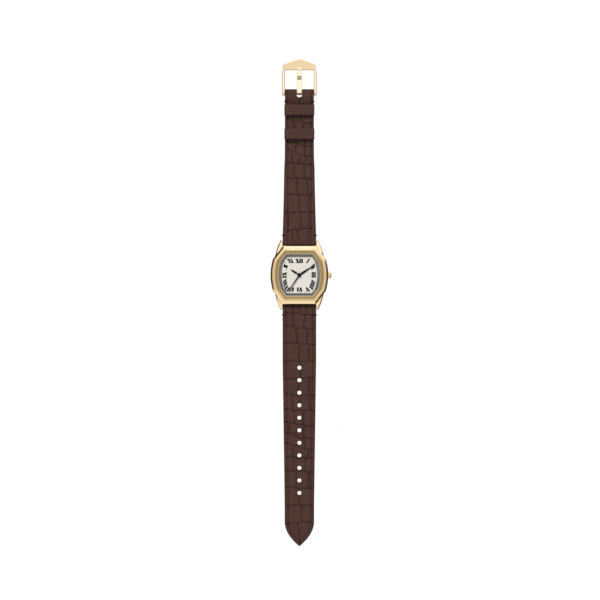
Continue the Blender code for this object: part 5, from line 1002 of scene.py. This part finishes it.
def make_keeper(node, body, start):
    """A folded leather band round the strap, pared thin at its sides, with rounded edges."""
    length, half, low, high, corner = 4.95, 7.15, 0.02, 5.2, 0.45
    side_wall, face_wall = 0.18, 0.42
    rings = []
    for x, z, angle in corner_turns(((half - corner, high - corner), (corner - half, high - corner),
                                     (corner - half, low + corner), (half - corner, low + corner)), 8):
        nx, nz = math.cos(angle), math.sin(angle)
        wall = side_wall * nx * nx + face_wall * nz * nz
        turn = 0.45 * wall
        ring = []
        for across, lengthwise, bend in corner_turns(((-turn, length - turn), (turn - wall, length - turn),
                                                      (turn - wall, turn), (-turn, turn)), 4):
            out = corner + across + turn * math.cos(bend)
            ring.append((x + nx * out, start + lengthwise + turn * math.sin(bend), z + nz * out))
        rings.append(ring)
    obj = solid(node + "_band", rings, closed=True)
    co = np.array([v.co for v in obj.data.vertices]) / MM
    edge = np.minimum(co[:, 1] - start, start + length - co[:, 1])
    side = half - np.abs(co[:, 0])
    # Dark dye on the cut edges, and painted shade at the sides where the band turns down
    set_points(obj, "crease", np.maximum(0.5 * bell(edge, 0.15), 0.8 * bell(side, 0.5)))
    dress(obj, keeper_leather, body, "leather", node, sharp=50)


# Buckle: plan of its right half, from the heel of an arm round the corner to the middle of the plate
ARM_INNER = 6.95
PLATE_EDGE = 97.7
# Distances along Y at which an arm is drawn, and its outer edge as pairs of Y and X
ARM_STATIONS = (85.5, 85.57, 85.67, 85.85, 86.1, 86.2, 86.3, 86.45, 86.6, 86.9, 87.5, 88.5, 90.0, 91.9, 93.5, 95.0)
ARM_OUTLINE = ((85.4, 8.1), (88.5, 8.19), (91.4, 8.25), (94.0, 8.22), (96.4, 8.15))
# Pairs of inner and outer points round the corner
CORNER_PAIRS = (((6.95, 96.2), (8.15, 96.4)), ((6.95, 96.8), (8.03, 97.3)), ((6.94, 97.15), (7.91, 98.2)),
                ((6.88, 97.42), (7.79, 99.0)), ((6.77, 97.6), (7.66, 99.8)), ((6.62, 97.69), (7.46, 100.25)))
# Outer points of the plate, each with the X of its inner one
PLATE = ((6.4, 7.05, 100.63), (5.6, 5.95, 101.06), (4.6, 4.75, 101.5), (3.5, 3.5, 101.96), (2.4, 2.4, 102.35),
         (1.3, 1.3, 102.66), (0.6, 0.6, 102.83), (0.0, 0.0, 102.9))
# Heights along Y
BUCKLE_TOP = ((85.5, 1.3), (85.85, 2.35), (86.1, 2.97), (86.3, 3.22), (86.6, 3.39), (86.9, 3.44),
              (91.9, 2.84), (97.7, 2.3), (103.9, 1.1))
BUCKLE_BOTTOM = ((85.5, 1.1), (85.65, 0.9), (86.1, 0.74), (86.9, 0.68), (90.9, 0.55), (95.4, 0.1), (97.7, 0), (104, 0))


def buckle_section(inner, outer):
    """A ring across the frame: steep inner face, rounded lip, flat top and rounded outer edge."""
    inner, outer = Vector(inner), Vector(outer)
    width = (outer - inner).length
    chamfer = 0.06 + 0.24 * min(1.0, max(0.0, (width - 1.5) / 2))
    edge = min(0.28, 0.24 * width)
    profile = [(0.12, None, 0.0), (0.0, None, 0.14), (0.0, 1.0, 0), (0.5 * chamfer, 0.55, 0), (chamfer, 0.14, 0),
               (chamfer + 0.09, 0.045, 0), (chamfer + 0.2, 0.0, 0), (chamfer + 0.28, 0.0, 0), (0.5 * width, 0.0, 0),
               (width - edge - 0.06, 0.0, 0), (width - edge, 0.0, 0),
               (width - 0.55 * edge, 0.05, 0), (width - 0.18 * edge, 0.2, 0), (width, 0.46, 0),
               (width, None, 0.14), (width - 0.12, None, 0.0)]
    ring = []
    for across, drop, rise in profile:
        spot = inner + (outer - inner) * (across / width)
        low, high = float(along(BUCKLE_BOTTOM, spot.y)), float(along(BUCKLE_TOP, spot.y))
        height = low + min(rise, 0.4 * (high - low)) if drop is None else high - min(1.0, (high - low) / 1.9) * drop
        ring.append((spot.x, spot.y, height))
    return ring


def make_buckle():
    """Arms, shoulders and pointed plate in one polished loop, bored for the pin and notched for the tongue."""
    right = [((ARM_INNER, y), (float(along(ARM_OUTLINE, y)), y)) for y in ARM_STATIONS]
    right += CORNER_PAIRS
    right += [((inner, PLATE_EDGE), (x, y)) for inner, x, y in PLATE]
    left = [((-a[0], a[1]), (-b[0], b[1])) for a, b in reversed(right[:-1])]
    obj = solid("buckle_loop", [buckle_section(*pair) for pair in right + left])
    carved(obj, bar("pin_seat", PIN_Y, PIN_Z, 0.7, 7.75))
    half, low = 1.17, 1.95
    notch = [(-half, 96.5), (half, 96.5), (half, 98.5), (half - 0.25, 98.82), (0.25 - half, 98.82), (-half, 98.5)]
    carved(obj, solid("notch", [[(x, y, z) for x, y in notch] for z in (low, 5)]))
    dress(obj, polished_gold, "buckle", "gold", "buckle_frame", sharp=38)


# Tongue: distance along Y, half width, underside, top, and how satin the top is there, darkened with painted shade
TONGUE = (
    (85.72, 1.06, 1.5, 1.62, 0), (85.8, 1.07, 1.3, 1.82, 0), (86.0, 1.08, 1.02, 2.26, 0), (86.25, 1.1, 0.9, 2.78, 0),
    (86.42, 1.11, 0.86, 3.04, 0), (86.6, 1.12, 0.84, 3.15, 0), (86.9, 1.12, 0.83, 3.2, 0), (87.3, 1.12, 0.9, 3.19, 0),
    (87.7, 1.12, 1.12, 3.16, 0), (88.0, 1.12, 1.5, 3.14, 0), (88.3, 1.12, 1.67, 3.11, 0), (90.5, 1.11, 1.67, 2.94, 0),
    (92.9, 1.1, 1.67, 2.77, 0), (93.02, 1.1, 1.68, 2.77, 0.9), (93.4, 1.08, 1.75, 2.86, 1),
    (93.75, 1.08, 1.86, 2.96, 0.9), (93.85, 1.08, 1.9, 2.98, 0.4), (94.15, 1.07, 2.0, 2.99, 0.4),
    (94.22, 1.07, 2.02, 2.99, 1), (94.5, 1.06, 2.12, 3.07, 1), (94.7, 1.06, 2.18, 3.13, 1),
    (94.8, 1.05, 2.2, 3.14, 0), (96.5, 1.0, 2.1, 2.99, 0), (97.7, 0.94, 2.02, 2.82, 0), (98.3, 0.9, 2.01, 2.7, 0),
    (98.58, 0.85, 2.01, 2.52, 0), (98.68, 0.76, 2.03, 2.32, 0),
)


def make_tongue():
    """A strip with an eye round the pin and a small brushed step before its tip, darkened there as painted shade."""
    rings, satin_shade = [], []
    for y, half, low, high, dull in TONGUE:
        top, bottom = min(0.12, 0.4 * (high - low)), min(0.1, 0.3 * (high - low))
        ring = []
        for x, z, radius, way, angle in corner_turns(((half, high, top, 1), (-half, high, top, 1),
                                                      (-half, low, bottom, -1), (half, low, bottom, -1)), 4):
            ring.append((x + radius * (math.cos(angle) - math.copysign(1, x)), y,
                         z + radius * (math.sin(angle) - way)))
        rings.append(ring)
        satin_shade += [dull] * len(ring)
    obj = new_object("buckle_tongue", *loft(rings))
    set_points(obj, "satin_shade", satin_shade)
    carved(clean(obj), bar("eye", PIN_Y, PIN_Z, 0.72, 4))
    dress(obj, polished_gold, "tongue", "gold", "tongue", sharp=38)


make_bezel()
make_mid_case()
make_spring_halves()
make_crystal()
make_chapter_ring()
make_numerals()
for hand in HANDS:
    make_hand(*hand)
make_crown()
make_straps()
make_tacks()
make_keeper("fixed_keeper", "buckle_strap", 76.05)
make_keeper("free_keeper", "free_keeper", 64.65)
make_buckle()
make_tongue()


# Stage

def make_floor():
    """A pale seamless floor, low enough for a strap that swings down, and see-through from underneath."""
    reach, drop = 4000, -118
    floor = new_object("floor", [(-reach, -reach, drop), (reach, -reach, drop), (reach, reach, drop),
                                 (-reach, reach, drop)], [(0, 1, 2, 3)])
    material, tree, shader, place = new_material("table_paint_matt_white")
    plug(tree, shader, {"Base Color": mix(tree, noise(tree, place, 400.0), "#606060", "#646464"), "Roughness": 0.9,
                        "Emission Color": colour("#FFFFFF"), "Emission Strength": 0.89})
    underneath = add(tree, "ShaderNodeNewGeometry").outputs["Backfacing"]
    clear = add(tree, "ShaderNodeBsdfTransparent")
    sides = add(tree, "ShaderNodeMixShader", {0: underneath, 1: shader.outputs[0], 2: clear.outputs[0]})
    tree.links.new(sides.outputs[0], tree.nodes["Material Output"].inputs["Surface"])
    floor.data.materials.append(material)
    floor.visible_glossy = False


def make_light():
    """Studio light: softer overhead, brighter and cooler from the buckle's side, with two dark cards, dark below."""
    world = bpy.data.worlds.new("studio")
    bpy.context.scene.world = world
    world.use_nodes = True
    tree = world.node_tree
    tree.nodes.clear()
    way = add(tree, "ShaderNodeTexCoord").outputs["Generated"]
    parts = add(tree, "ShaderNodeSeparateXYZ", {"Vector": way}).outputs
    across, ahead = number(tree, "ABSOLUTE", parts["X"]), number(tree, "ABSOLUTE", parts["Y"])
    level = number(tree, "MULTIPLY_ADD", ahead, 0.37, number(tree, "MULTIPLY_ADD", across, 0.16, 0.63))
    bearing = vector(tree, "NORMALIZE", vector(tree, "MULTIPLY", way, (1, 1, 0)))
    low = spread(tree, parts["Z"], 0.0, 1.0, 0.62, 0.3, "SMOOTHSTEP")
    open_share = 1.0
    for degrees in (160, -22):
        card = (math.cos(math.radians(degrees)), math.sin(math.radians(degrees)), 0)
        covered = spread(tree, vector(tree, "DOT_PRODUCT", bearing, card), 0.0, 1.0, 0.66, 0.86, "SMOOTHSTEP")
        clear = number(tree, "MULTIPLY_ADD", number(tree, "MULTIPLY", covered, low), -1.0, 1.0)
        open_share = number(tree, "MULTIPLY", clear, open_share)
    below = spread(tree, parts["Z"], 1.0, 0.28, -0.55, -0.78, "SMOOTHSTEP")
    towards = number(tree, "MAXIMUM", parts["Y"], number(tree, "MULTIPLY", parts["Y"], -0.5))
    cool = number(tree, "MULTIPLY", number(tree, "MULTIPLY", towards, towards), 0.46)
    grey = add(tree, "ShaderNodeCombineXYZ", {"X": level, "Y": level, "Z": level}).outputs[0]
    sky = vector(tree, "ADD", grey, vector(tree, "SCALE", (0.7, 1.0, 1.9), scale=cool))
    seen = vector(tree, "SCALE", sky, scale=number(tree, "MULTIPLY", open_share, below))
    dark = vector(tree, "SCALE", (0.075, 0.05, 0.016), scale=number(tree, "SUBTRACT", 1.0, open_share))
    total = vector(tree, "ADD", seen, dark)
    path = add(tree, "ShaderNodeLightPath").outputs
    share = spread(tree, path["Is Diffuse Ray"], 1.0, 0.55)
    shaped = add(tree, "ShaderNodeBackground", {"Color": total, "Strength": share})
    plain = add(tree, "ShaderNodeBackground", {"Color": colour("#FFFFFF"), "Strength": 1.0})
    mixed = add(tree, "ShaderNodeMixShader", {0: path["Is Camera Ray"], 1: shaped.outputs[0], 2: plain.outputs[0]})
    add(tree, "ShaderNodeOutputWorld", {"Surface": mixed.outputs[0]})

    make_lamp("key_softbox", (-0.4, 2.0, 2.7), (1.1, 1.1), 82, colour("#FFFFFF"), (0, 0, 0), False)
    make_lamp("buckle_softbox", (0, 0.17, 0.5), (0.26, 0.24), 0.175, (0.52, 0.64, 1.0), (0, 0.17, 0), True)


def make_lamp(name, place, size, power, tint, target, mirrored):
    """A rectangular softbox that the camera doesn't see."""
    lamp = bpy.data.objects.new(name, bpy.data.lights.new(name, "AREA"))
    lamp.data.shape = "RECTANGLE"
    lamp.data.size, lamp.data.size_y = size
    lamp.data.energy = power
    lamp.data.color = tint[:3]
    lamp.location = place
    lamp.rotation_euler = (Vector(target) - lamp.location).to_track_quat("-Z", "Y").to_euler()
    lamp.visible_camera = False
    lamp.visible_glossy = mirrored
    bpy.context.scene.collection.objects.link(lamp)


def make_camera():
    """Straight down over the watch, buckle up, through a long lens."""
    camera = bpy.data.objects.new("camera", bpy.data.cameras.new("camera"))
    width, distance = 0.2856, 1.5
    camera.location = (0.29 * MM, -11.9 * MM, distance)
    camera.data.sensor_width = 36
    camera.data.lens = 36 * (distance - 3 * MM) / width
    camera.data.clip_start = 0.01
    camera.data.dof.use_dof = False
    bpy.context.scene.collection.objects.link(camera)
    bpy.context.scene.camera = camera
    bpy.context.scene.view_settings.view_transform = "Standard"


make_floor()
make_light()
make_camera()
